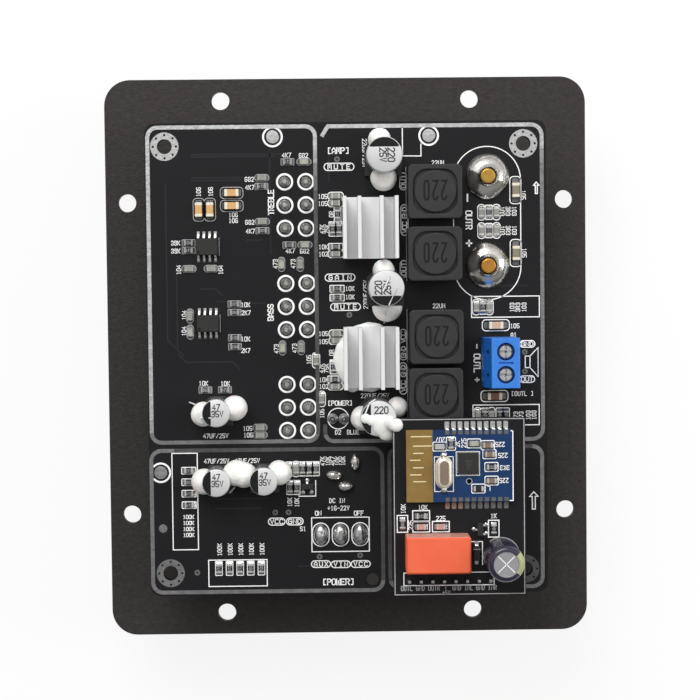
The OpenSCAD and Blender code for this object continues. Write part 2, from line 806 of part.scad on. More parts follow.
module heatsink(p) {
    base_t = 1.4;
    inner = sink_w * 0.2;
    color("#dcdcde") at(p, board_top + amp_chip[2]) translate([0, sink_l / 2, 0])
        rotate([90, 0, 0]) linear_extrude(sink_l) {
            translate([-sink_w / 2, 0]) square([sink_w, base_t]);
            for (x = [fin_t / 2 - sink_w / 2, -inner, inner, sink_w / 2 - fin_t / 2])
                translate([x - fin_t / 2, 0]) square([fin_t, sink_h]);
        }
}

module amp_chips() {
    n = 16;
    pitch = 0.65;
    lead = [1, 0.25, 0.2];
    size = amp_chip;
    color("#202022") for (p = [sink_upper_at, sink_lower_at]) at(p, board_top) {
        translate([-size[0] / 2, -size[1] / 2, 0]) cube(size);
        for (s = [-1, 1]) for (i = [0:n - 1])
            translate([s * (size[0] + lead[0]) / 2, (i - (n - 1) / 2) * pitch, lead[2] / 2])
                cube(lead, center = true);
    }
}

// Shielded inductor: a drum core in a square ferrite ring
module inductor(p) {
    drum_d = inductor_w * 0.77;
    mouth_w = drum_d + 0.6;
    mouth_r = mouth_w * 0.32;
    mouth_depth = 0.6;
    ring_r = 1;
    step = 0.35;
    color("#2b2b2d") at(p, board_top) difference() {
        union() {
            slab(inductor_w, inductor_w, inductor_h - step, ring_r);
            cylinder(d = drum_d, h = inductor_h);
        }
        translate([0, 0, inductor_h - step - mouth_depth]) difference() {
            slab(mouth_w, mouth_w, inductor_h, mouth_r);
            translate([0, 0, -1]) cylinder(d = drum_d, h = inductor_h + 2);
        }
    }
}

// Surface-mounted can on its moulded base
module can(p, d, h) {
    edge = 0.5;
    pinch = 0.25;
    body_h = h - can_base_t;
    r = d / 2;
    color("#dedede") at(p, board_top) {
        linear_extrude(can_base_t) difference() {
            square(d + can_base_lip, center = true);
            for (s = [-1, 1]) translate([r, s * r]) rotate(45) square(d * 0.3, center = true);
        }
        translate([0, 0, can_base_t]) rotate_extrude() polygon([
            [0, 0], [r, 0], [r, 0.6], [r - pinch, 0.9], [r - pinch, 1.3], [r, 1.6],
            [r, body_h - edge], [r - edge * 0.3, body_h - edge * 0.3], [r - edge, body_h], [0, body_h]
        ]);
    }
}

module large_capacitors() {
    for (p = big_can_at) can(p, big_can_d, big_can_h);
}

module small_capacitors() {
    for (p = small_can_at) can(p, small_can_d, small_can_h);
}

// Small packages

module op_amps() {
    pitch = 1.27;
    n = 4;
    lead = [0.45, 1.2, 0.2];
    size = op_amp;
    color("#1f1f21") for (p = op_amp_at) at(p, board_top) {
        translate([-size[0] / 2, -size[1] / 2, 0.1]) cube([size[0], size[1], size[2] - 0.1]);
        for (s = [-1, 1]) for (i = [0:n - 1])
            translate([(i - (n - 1) / 2) * pitch, s * size[1] / 2, 0]) {
            translate([0, s * lead[1] / 2, lead[2] / 2]) cube(lead, center = true);
            translate([0, s * 0.2, 0.5]) cube([lead[0], 0.5, 1], center = true);
        }
    }
}

// Chip with a raised end cap at each end
module chip_part(size) {
    cap = size[0] * 0.22;
    thin = 0.04;
    translate([-size[0] / 2 + cap / 2, thin - size[1] / 2, 0])
        cube([size[0] - cap, size[1] - 2 * thin, size[2] - thin]);
    for (x = [-size[0] / 2, size[0] / 2 - cap])
        translate([x, -size[1] / 2, 0]) cube([cap, size[1], size[2]]);
}

module chip_resistors() {
    color("#3a3a3e") {
        for (p = resistor_at) at(p, board_top) chip_part(chip);
        for (p = carrier_resistor_at) at(p, carrier_top) chip_part(chip);
    }
}

module chip_capacitors() {
    color("#b0946a") {
        for (p = capacitor_at) at(p, board_top) chip_part(chip);
        for (p = big_chip_at) at(p, board_top) chip_part(big_chip);
        for (p = carrier_capacitor_at) at(p, carrier_top) chip_part(chip);
    }
}

module three_leg() {
    body = [1.3, 2.9, 1];
    leg = [0.7, 0.45, 0.3];
    translate([-body[0] / 2, -body[1] / 2, 0]) cube(body);
    for (y = [-0.95, 0.95]) translate([body[0] / 2, y - leg[1] / 2, 0]) cube(leg);
    translate([-body[0] / 2 - leg[0], -leg[1] / 2, 0]) cube(leg);
}

module transistors() {
    diode = [1.5, 3.2, 1.1];
    tab = [0.8, 0.6, 0.3];
    color("#202022") {
        at(transistor_at, board_top) three_leg();
        at(carrier_transistor_at, carrier_top) three_leg();
        at(diode_at, carrier_top) {
            translate([-diode[0] / 2, -diode[1] / 2, 0]) cube(diode);
            for (s = [-1, 1])
                translate([-tab[0] / 2, s * (diode[1] + tab[1]) / 2 - tab[1] / 2, 0]) cube(tab);
        }
    }
}

// Sealant that locks the capacitors

module bead(b) {
    foot = 0.6;
    at([b[0], b[1]], board_top) rotate_extrude() polygon([
        [0, 0], [foot * b[2], 0], [b[2] * 0.85, b[3] * 0.25], [b[2], b[3] * 0.5],
        [b[2] * 0.9, b[3] * 0.75], [b[2] * 0.6, b[3] * 0.93], [0, b[3]]
    ]);
}

// Room that a capacitor keeps free of sealant round itself
module can_room(p, d) {
    at(p, board_top - 1) cylinder(d = d + 2 * free_gap, h = 20);
    at(p, board_top - 1) linear_extrude(1 + can_base_t + free_gap)
        square(d + can_base_lip + 2 * free_gap, center = true);
}

// Room that a piece on the main board keeps free of sealant
module room(size, gap) {
    under = 1;
    translate([-size[0] / 2 - gap, -size[1] / 2 - gap, board_top - under])
        cube([size[0] + 2 * gap, size[1] + 2 * gap, under + size[2] + gap]);
}

module sealant_beads() {
    color("#f4f4f0") {
        difference() {
            for (b = small_beads) bead(b);
            for (p = small_can_at) can_room(p, small_can_d);
        }
        difference() {
            for (b = big_beads) bead(b);
            for (p = big_can_at) can_room(p, big_can_d);
        }
        at(cap_bead, board_top + big_can_h) lens(cap_bead);
        at(corner_bead, carrier_top) lens(corner_bead);
        difference() {
            for (b = pool_beads) at([b[0], b[1]], board_top) lens(b);
            at(sink_lower_at) room([sink_w, sink_l, sink_h], free_gap);
            for (p = concat(resistor_at, capacitor_at)) at(p) room(chip, fix_gap);
        }
    }
}

module lens(b) {
    rotate_extrude() polygon(dome_points(0, b[2], b[3]));
}

// Receiver board and what it carries

module receiver_board() {
    color("#202023") translate([0, 0, carrier_z]) difference() {
        at(carrier_at) slab(carrier_w, carrier_h, carrier_t, 0.4);
        for (p = header_pins) at(p, -1) cylinder(d = header_hole_d, h = carrier_t + 2);
    }
}

module receiver_header() {
    strip = [header_n * header_pitch, header_pitch, header_h];
    grip = 5.5;
    color("#1a1a1c") {
        at(header_at, carrier_z - header_h / 2) cube(strip, center = true);
        for (p = header_pins) at(p, carrier_z - header_h - grip)
            linear_extrude(grip + header_h + carrier_t + 1.1) square(header_pin_w, center = true);
    }
}

module receiver_socket() {
    strip = [header_n * header_pitch + 0.3, header_pitch, socket_h];
    depth = 6;
    hole_w = header_pin_w + 2 * fix_gap;
    color("#1a1a1c") difference() {
        at(header_at, board_top + socket_h / 2) cube(strip, center = true);
        for (p = header_pins) at(p, board_top + socket_h - depth)
            linear_extrude(depth + 1) square(hole_w, center = true);
    }
}

module radio_module() {
    n = 10;
    pitch = 1.43;
    notch_d = 0.7;
    first_x = -2.7;
    hole_at = [2, -3.4];
    color("#17408f") at(module_at, carrier_top) difference() {
        slab(module_w, module_h, module_t, 0.2);
        for (i = [0:n - 1]) for (s = [-1, 1])
            translate([first_x + i * pitch, s * module_h / 2, -1]) cylinder(d = notch_d, h = module_t + 2);
        translate([hole_at[0], hole_at[1], -1]) cylinder(d = 1, h = module_t + 2);
    }
}

module radio_chips() {
    size = radio_chip;
    part = [2, 1.2, 0.6];
    color("#222224") {
        at(radio_chip_at, module_top) translate([-size[0] / 2, -size[1] / 2, 0]) cube(size);
        for (p = radio_part_at) at(p, module_top) chip_part(part);
    }
}

module radio_crystal() {
    size = [3.2, 6.6, 1.8];
    brim = 0.25;
    color("#cfc9c2") at(crystal_at, module_top) {
        slab(size[0] + 2 * brim, size[1] + 2 * brim, 0.35, size[0] / 2 + brim - 0.05);
        slab(size[0], size[1], size[2], size[0] / 2 - 0.05);
    }
}

module relay() {
    foot = 0.4;
    color("#f4603c") at(relay_at, carrier_top) {
        slab(relay_l - 1, relay_w - 1, foot, 0.4);
        translate([0, 0, foot]) slab(relay_l, relay_w, relay_h - foot - 0.3, 0.5);
        translate([0, 0, relay_h - 0.3]) slab(relay_l - 0.5, relay_w - 0.5, 0.3, 0.4);
    }
}

module receiver_capacitor() {
    d = 8;
    r = d / 2;
    h = tall_can_h;
    rim = 1.2;
    groove_z = 1.6;
    color("#35343c") at(tall_can_at, carrier_top) rotate_extrude() polygon([
        [0, 0], [r - 0.5, 0], [r, 0.5], [r, groove_z], [r - 0.35, groove_z + 0.4],
        [r, groove_z + 0.8],
        [r, h - 0.6], [r - 0.6, h], [r - rim, h], [r - rim - 0.1, h - 0.2], [0, h - 0.2]
    ]);
}

back_panel();
main_board();
pot(pots_y[0]);  // treble_pot
pot_shaft(pots_y[0]);  // treble_shaft
knob(pots_y[0]);  // treble_knob
pot(pots_y[1]);  // bass_pot
pot_shaft(pots_y[1]);  // bass_shaft
knob(pots_y[1]);  // bass_knob
pot(pots_y[2]);  // volume_pot
pot_shaft(pots_y[2]);  // volume_shaft
knob(pots_y[2]);  // volume_knob
pot_fasteners();
switch_body();
switch_lever();
switch_nut();
power_inlet();
power_inlet_pin();
power_led();
line_input_housing();
line_input_shells();
line_input_inserts();
post_stud(posts[0]);  // post_neg_stud
post_bush(posts[0], "#222224");  // post_neg_bush
post_insert(posts[0]);  // post_neg_insert
post_cap(posts[0], "#222224");  // post_neg_cap
post_stud(posts[1]);  // post_pos_stud
post_bush(posts[1], "#b3201f");  // post_pos_bush
post_insert(posts[1]);  // post_pos_insert
post_cap(posts[1], "#b3201f");  // post_pos_cap
post_fasteners();
post_solder();
solder_joints();
terminal_block();
terminal_screw(0);  // terminal_screw_1
terminal_screw(1);  // terminal_screw_2
terminal_clamp(0);  // terminal_clamp_1
terminal_clamp(1);  // terminal_clamp_2
heatsink(sink_upper_at);  // heatsink_upper
heatsink(sink_lower_at);  // heatsink_lower
amp_chips();
inductor(inductor_at[0]);  // inductor_1
inductor(inductor_at[1]);  // inductor_2
inductor(inductor_at[2]);  // inductor_3
inductor(inductor_at[3]);  // inductor_4
large_capacitors();
small_capacitors();
op_amps();
chip_resistors();
chip_capacitors();
transistors();
sealant_beads();
receiver_board();
receiver_header();
receiver_socket();
radio_module();
radio_chips();
radio_crystal();
relay();
receiver_capacitor();
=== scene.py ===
import json
import math
import random

import bmesh
import bpy
from mathutils import Matrix, Quaternion, Vector, noise

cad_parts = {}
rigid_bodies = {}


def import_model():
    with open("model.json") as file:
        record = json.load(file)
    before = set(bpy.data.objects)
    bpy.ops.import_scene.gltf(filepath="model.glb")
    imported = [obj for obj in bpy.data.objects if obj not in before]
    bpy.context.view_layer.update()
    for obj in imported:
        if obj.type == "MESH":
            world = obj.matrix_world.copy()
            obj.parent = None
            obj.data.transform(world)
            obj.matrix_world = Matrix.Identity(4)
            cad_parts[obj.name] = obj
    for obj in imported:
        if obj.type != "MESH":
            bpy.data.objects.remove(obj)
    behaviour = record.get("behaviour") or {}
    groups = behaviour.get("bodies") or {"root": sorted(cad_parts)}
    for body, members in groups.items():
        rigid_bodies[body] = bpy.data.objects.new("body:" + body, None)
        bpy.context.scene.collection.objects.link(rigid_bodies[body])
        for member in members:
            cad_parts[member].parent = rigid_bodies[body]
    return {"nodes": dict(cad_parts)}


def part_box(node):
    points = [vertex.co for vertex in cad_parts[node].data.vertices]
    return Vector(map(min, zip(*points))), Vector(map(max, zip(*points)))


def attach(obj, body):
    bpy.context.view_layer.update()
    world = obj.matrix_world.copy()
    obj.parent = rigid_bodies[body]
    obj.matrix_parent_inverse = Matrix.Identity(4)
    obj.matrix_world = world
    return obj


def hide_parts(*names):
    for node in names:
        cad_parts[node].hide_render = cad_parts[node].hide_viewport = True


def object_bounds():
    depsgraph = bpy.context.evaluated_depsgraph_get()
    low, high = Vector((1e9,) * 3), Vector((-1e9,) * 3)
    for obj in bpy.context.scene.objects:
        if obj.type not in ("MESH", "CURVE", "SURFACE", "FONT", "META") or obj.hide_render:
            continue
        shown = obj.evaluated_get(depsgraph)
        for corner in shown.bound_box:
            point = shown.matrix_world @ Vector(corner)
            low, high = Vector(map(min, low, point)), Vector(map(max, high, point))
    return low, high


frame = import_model()
cad_box = [list(v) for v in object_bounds()]
nodes = frame["nodes"]

# Places and sizes are millimetres in the part's frame; these are the tops of the three boards
MM = 0.001
BOARD, CARRIER, MODULE = 15.6, 28.2, 29.2
# How far print and copper stand above a board, and the step between layers on each other
SILK, FOIL, LAYER = 0.03, 0.05, 0.01
X, Y, Z = range(3)


# Materials

def linear(code):
    """A display colour such as 2f7fd6 as linear light."""
    parts = [int(code[i:i + 2], 16) / 255 for i in (0, 2, 4)]
    return tuple(c / 12.92 if c <= 0.04045 else ((c + 0.055) / 1.055) ** 2.4 for c in parts)


def maths(tree, operation, *values):
    """The result of a maths node on sockets or numbers."""
    node = tree.nodes.new("ShaderNodeMath")
    node.operation = operation
    for slot, value in zip(node.inputs, values):
        if isinstance(value, bpy.types.NodeSocket):
            tree.links.new(value, slot)
        else:
            slot.default_value = value
    return node.outputs[0]


# How far gloss strays to either side and its least, its noise's scale, and the rays of a softened edge
GLOSS_SPREAD, GLOSS_LEAST, GLOSS_PATCH, EDGE_SAMPLES = 0.09, 0.03, 2.3, 4
# The scale of a wave texture whose ridges are one unit apart, and a mix node's colour sockets
WAVE_SCALE, MIX_COLORS, MIX_RESULT = 0.314, (6, 7), 2
COLOR_DETAIL, SURFACE_DETAIL, BARE_DETAIL = 5, 3, 4


class Look:
    """A principled material whose colour, gloss and surface all vary with procedural noise.

    The colour varies by a share (vary) or up to another colour (tint). patch and grain are the scales of its
    noise and of the relief's, and flow stretches both. edge softens corners, and thread is a thread's pitch.
    """

    def __init__(self, name, color, rough=0.5, metal=0.0, vary=0.12, patch=900, grain=2600, bump=0.15,
                 depth=0.02, flow=(1, 1, 1), edge=0.0, tint=None, thread=0.0, **sockets):
        self.mat = bpy.data.materials.new(name)
        self.mat.use_nodes = True
        self.tree = self.mat.node_tree
        self.shader = self.tree.nodes["Principled BSDF"]
        self.coord = self.node("ShaderNodeTexCoord").outputs["Object"]
        base = linear(color)
        self.put("Base Color", (*base, 1))
        self.put("Roughness", rough)
        self.put("Metallic", metal)
        for key, value in sockets.items():
            self.put(key.replace("_", " "), value)
        dark = [c * (1 - vary) for c in base]
        light = linear(tint) if tint else [min(1, c * (1 + vary)) for c in base]
        tone = self.mix(self.noise(patch, COLOR_DETAIL, flow), dark, light)
        self.link(tone, self.shader.inputs["Base Color"])
        gloss = self.node("ShaderNodeMapRange")
        gloss.inputs["To Min"].default_value = max(GLOSS_LEAST, rough - GLOSS_SPREAD)
        gloss.inputs["To Max"].default_value = min(1, rough + GLOSS_SPREAD)
        self.link(self.noise(patch * GLOSS_PATCH, SURFACE_DETAIL, flow), gloss.inputs["Value"])
        self.link(gloss.outputs[0], self.shader.inputs["Roughness"])
        relief = self.node("ShaderNodeBump")
        relief.inputs["Strength"].default_value = bump
        relief.inputs["Distance"].default_value = depth * MM
        height = self.rings(thread) if thread else self.noise(grain, SURFACE_DETAIL, flow)
        self.link(height, relief.inputs["Height"])
        if edge:
            soft = self.node("ShaderNodeBevel")
            soft.samples = EDGE_SAMPLES
            soft.inputs["Radius"].default_value = edge * MM
            self.link(soft.outputs[0], relief.inputs["Normal"])
        self.link(relief.outputs[0], self.shader.inputs["Normal"])

    def node(self, kind):
        return self.tree.nodes.new(kind)

    def link(self, a, b):
        self.tree.links.new(a, b)

    def put(self, socket, value):
        self.shader.inputs[socket].default_value = value

    def noise(self, scale, detail, flow=(1, 1, 1)):
        place = self.node("ShaderNodeMapping")
        place.inputs["Scale"].default_value = flow
        self.link(self.coord, place.inputs["Vector"])
        tex = self.node("ShaderNodeTexNoise")
        tex.inputs["Scale"].default_value = scale
        tex.inputs["Detail"].default_value = detail
        self.link(place.outputs[0], tex.inputs["Vector"])
        return tex.outputs["Fac"]

    def rings(self, pitch):
        """Thread-like ridges stacked along Z."""
        wave = self.node("ShaderNodeTexWave")
        wave.bands_direction = "Z"
        wave.inputs["Scale"].default_value = WAVE_SCALE / (pitch * MM)
        self.link(self.coord, wave.inputs["Vector"])
        return wave.outputs["Fac"]

    def mix(self, factor, a, b):
        """Colour a where factor is 0 and b where it is 1; each is a colour or a socket."""
        mix = self.node("ShaderNodeMix")
        mix.data_type = "RGBA"
        self.link(factor, mix.inputs["Factor"])
        for slot, value in zip(MIX_COLORS, (a, b)):
            if isinstance(value, bpy.types.NodeSocket):
                self.link(value, mix.inputs[slot])
            else:
                mix.inputs[slot].default_value = (*value[:3], 1)
        return mix.outputs[MIX_RESULT]

    def test(self, operation, axis, place):
        """1 where the part's own coordinate is past a place in one direction, else 0."""
        split = self.node("ShaderNodeSeparateXYZ")
        self.link(self.coord, split.inputs[0])
        return maths(self.tree, operation, split.outputs[axis], place * MM)

    def repaint(self, factor, color, metal=False):
        """Another colour where factor is 1, as bare metal if asked."""
        old = self.shader.inputs["Base Color"].links[0].from_socket
        self.link(self.mix(factor, old, linear(color)), self.shader.inputs["Base Color"])
        if metal:
            self.link(factor, self.shader.inputs["Metallic"])


# Settings that several looks share
METAL = dict(metal=0.9, rough=0.3, vary=0.1, edge=0.12)
CERAMIC = dict(rough=0.45, vary=0.15, grain=3000)
PRINT = dict(rough=0.6, patch=1500, grain=3000, Specular_IOR_Level=0.2)
PLASTIC = dict(rough=0.4, patch=350, edge=0.2)
BLACK = dict(color="1c1c1e", **PLASTIC)
TINNED = dict(rough=0.45, metal=0.75, vary=0.45, patch=750, grain=1500, bump=0.7, depth=0.12)
PLATED = dict(patch=1700, grain=1800, bump=0.4, depth=0.05)
THREADED = dict(thread=0.5, bump=0.9, depth=0.25, **METAL)
BRASS = dict(color="b98c3c", tint="d9b15c")
LOOKS = {
    "panel": dict(color="2b2928", tint="3b3735", rough=0.62, vary=0.34, patch=800, grain=1500, bump=0.8,
                  depth=0.14, edge=0.25, Specular_IOR_Level=0.25),
    "mask": dict(color="1b1b1d", rough=0.42, vary=0.14, patch=55, grain=700, bump=0.05, edge=0.1,
                 Specular_IOR_Level=0.15),
    "trace": dict(color="26262a", rough=0.4, patch=120, grain=900, bump=0.05, Specular_IOR_Level=0.2),
    "pad": dict(color="bcbcbb", rough=0.4, metal=0.75, vary=0.45, patch=2100, grain=1700, bump=0.6,
                depth=0.1),
    "dull": dict(color="6a6a68", metal=0.5, vary=0.3, patch=1500, grain=1700, bump=0.4, depth=0.06),
    "silk": dict(color="f4f4f2", vary=0.08, **PRINT),
    "faint": dict(color="a4a4a6", vary=0.25, **PRINT),
    "ink": dict(color="151516", vary=0.2, **PRINT),
    "marking": dict(color="4a4843", vary=0.3, **PRINT),
    "joint": dict(color="a9a8a5", rough=0.28, metal=0.9, vary=0.55, patch=1500, grain=1300, bump=1.0,
                  depth=0.34),
    "flux": dict(color="33302d", rough=0.35, metal=0.3, vary=0.3, patch=1500, grain=1500, bump=0.6,
                 depth=0.1),
    "solder": dict(color="c6c6c6", rough=0.25, metal=0.95, vary=0.2, patch=1300, grain=1300, bump=0.6,
                   depth=0.14),
    "dome": dict(color="f0ece6", rough=0.19, metal=1.0, vary=0.14, patch=700, grain=420, bump=0.6,
                 depth=0.3),
    "steel": dict(color="b9b9b8", flow=(1, 1, 9), **METAL),
    "nickel": dict(color="cac8c3", **METAL),
    "shell": dict(color="cac8c3", metal=0.9, rough=0.3, vary=0.1),
    "screw": dict(color="d6d6d2", bump=0.4, depth=0.06, **METAL),
    "turned": dict(color="c8c8ca", flow=(1, 1, 30), **METAL),
    "brass": dict(**BRASS, **METAL),
    "copper_rod": dict(color="bf8436", tint="e0a450", **THREADED),
    "threaded": dict(**BRASS, **THREADED),
    "knob": dict(color="232325", rough=0.5, grain=4200, bump=0.25, depth=0.03, edge=0.3),
    "black": BLACK, "inlet_case": BLACK, "header": BLACK,
    "switch_case": dict(color="27508f", **PLASTIC),
    "lens": dict(color="9fc4ff", rough=0.12, vary=0.05, bump=0.02, Transmission_Weight=0.6),
    "red": dict(color="b3201f", **PLASTIC),
    "insert": dict(color="e8e8e4", **PLASTIC),
    "terminal": dict(color="2d72cc", tint="3b82da", rough=0.36, vary=0.08, patch=420, grain=2200, bump=0.15,
                     edge=0.25),
    "terminal_dark": dict(color="062a5c", rough=0.5, vary=0.2),
    "sink": dict(color="e4e4e4", rough=0.45, metal=0.1, vary=0.1, patch=420, grain=2600, flow=(4, 0.12, 4),
                 bump=0.3, depth=0.04, edge=0.12),
    "epoxy": dict(color="272726", rough=0.55, grain=4200, bump=0.3, edge=0.08, Specular_IOR_Level=0.3),
    "ferrite": dict(color="222123", tint="2b2a2c", rough=0.5, vary=0.2, patch=420, grain=2300, bump=0.4,
                    depth=0.05, edge=0.4, Specular_IOR_Level=0.45),
    "can": dict(color="c8c8c8", rough=0.45, metal=0.12, vary=0.08, patch=2300, grain=3800, bump=0.3),
    "can_side": dict(color="c9c9c9", flow=(1, 1, 14), **METAL),
    "glaze": dict(color="242427", rough=0.35, vary=0.2, patch=1500, Specular_IOR_Level=0.35),
    "tin_end": dict(color="d0d0cc", rough=0.35, metal=0.65, vary=0.2, **PLATED),
    "dim_end": dict(color="9c9c99", rough=0.5, metal=0.3, vary=0.25, **PLATED),
    "cream_end": dict(color="e9e0cc", rough=0.35, metal=0.3, vary=0.15, **PLATED),
    "tan": dict(color="8c8a83", **CERAMIC),
    "celadon": dict(color="a3a495", **CERAMIC),
    "peach": dict(color="c99a5e", tint="dcae74", **CERAMIC),
    "blush": dict(color="c3a28c", tint="d2b39d", **CERAMIC),
    "umber": dict(color="80594a", **CERAMIC),
    "olive": dict(color="7f7b65", **CERAMIC),
    "brown": dict(color="7d6557", **CERAMIC),
    "pink": dict(color="b98a80", **CERAMIC),
    "sealant": dict(color="eae9e5", rough=0.5, vary=0.04, patch=260, grain=600, bump=0.2, depth=0.08,
                    Subsurface_Weight=0.2, Subsurface_Scale=0.002),
    "crystal": dict(color="e2d9c8", rough=0.3, metal=0.5, vary=0.08, patch=400, bump=0.05),
    "crystal_top": dict(color="8d7b6e", rough=0.35, metal=0.4, vary=0.15, patch=420, bump=0.2),
    "relay": dict(color="e65f3d", tint="ec6d49", rough=0.36, vary=0.05, patch=220, grain=2200, bump=0.08,
                  edge=0.35),
    "sleeve": dict(color="2a2838", rough=0.25, vary=0.16, patch=300, grain=900, bump=0.1),
    "stripe": dict(color="a3a678", rough=0.35, patch=500, grain=1500, bump=0.1),
    "vent": dict(color="a3a3a6", rough=0.4, metal=0.5, vary=0.15, patch=1200, bump=0.3),
    "antenna_line": dict(color="dccda0", rough=0.5, vary=0.15, grain=2400),
    "module": dict(color="14325a", rough=0.42, vary=0.22, patch=300, grain=1400, bump=0.08, edge=0.08,
                   Specular_IOR_Level=0.25),
}
# Tinned strips in six greys, from painted shade to painted highlight
STRIPS = [f"strip_{k}" for k in range(6)]
DULL_GREY, GREY_STEP = 0x5c, 0x13
for k, name in enumerate(STRIPS):
    LOOKS[name] = dict(color=f"{DULL_GREY + k * GREY_STEP:02x}" * 3, **TINNED)
looks = {name: Look(name, **keys) for name, keys in LOOKS.items()}

# What has a second colour past a place: look, axis, test, place, colour, and whether it is bare metal there
LUG_METAL, ABOVE, BELOW = "bdbdbb", "GREATER_THAN", "LESS_THAN"
relay_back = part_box("relay")[1][Y] / MM - 0.05
REPAINTS = [
    ("switch_case", Z, BELOW, 0.0, LUG_METAL, True), ("switch_case", Z, ABOVE, 9.5, LUG_METAL, True),
    ("inlet_case", Z, ABOVE, BOARD, LUG_METAL, True), ("lens", Z, ABOVE, 1.0, LUG_METAL, True),
    ("header", Z, ABOVE, 26.6, LUG_METAL, True), ("insert", X, ABOVE, 24.0, "b3201f", False),
    # The sink is a little lighter below 25.5 mm, down in the gaps between its fins: painted light against
    # the fins' shade
    ("sink", Z, ABOVE, 25.5, "dcdcdc", False), ("terminal", X, BELOW, 31.35, "1c5cab", False),
    ("relay", Y, ABOVE, relay_back, "c98d7e", False),
]
for name, axis, operation, place, color, metal in REPAINTS:
    looks[name].repaint(looks[name].test(operation, axis, place), color, metal)
# The radio module is bare of its blue coat under the antenna, whose mottled brown has a noise of its own
ANTENNA_END, BARE_DARK, BARE_LIGHT, BARE_PATCH = 18.0, "735a2c", "917643", 500
foil = looks["module"]
bare = foil.mix(foil.noise(BARE_PATCH, BARE_DETAIL), linear(BARE_DARK), linear(BARE_LIGHT))
blue = foil.shader.inputs["Base Color"].links[0].from_socket
foil.link(foil.mix(foil.test(ABOVE, X, ANTENNA_END), bare, blue), foil.shader.inputs["Base Color"])
M = {name: made.mat for name, made in looks.items()}

# Which carried-over nodes take a look: by the whole name, its last word, or what comes before that
PAINT = {
    "panel": "back_panel", "mask": "main_board receiver_board", "steel": "pot", "turned": "shaft",
    "knob": "knob", "nickel": "pot_fasteners switch_lever switch_nut power_inlet_pin terminal_clamp",
    "switch_case": "switch_body", "inlet_case": "power_inlet", "lens": "power_led",
    "shell": "line_input_shells", "insert": "line_input_inserts", "threaded": "post_neg_stud",
    "copper_rod": "post_pos_stud", "brass": "post_neg_insert post_pos_insert post_fasteners",
    "black": "line_input_housing post_neg_bush post_neg_cap receiver_socket",
    "red": "post_pos_bush post_pos_cap", "terminal": "terminal_block", "screw": "terminal_screw",
    "sink": "heatsink_upper heatsink_lower", "epoxy": "amp_chips", "ferrite": "inductor",
    "header": "receiver_header", "module": "radio_module", "relay": "relay",
}
look_of = {words: look for look, group in PAINT.items() for words in group.split()}
for name, node in nodes.items():
    first, _, last = name.rpartition("_")
    paint = look_of.get(name) or look_of.get(last) or look_of.get(first)
    if paint:
        slots = node.data.materials
        if not slots:
            slots.append(M[paint])
        for i in range(len(slots)):
            slots[i] = M[paint]


# Mesh building

SHARP_ANGLE, MITRE_LIMIT = math.radians(35), 0.4


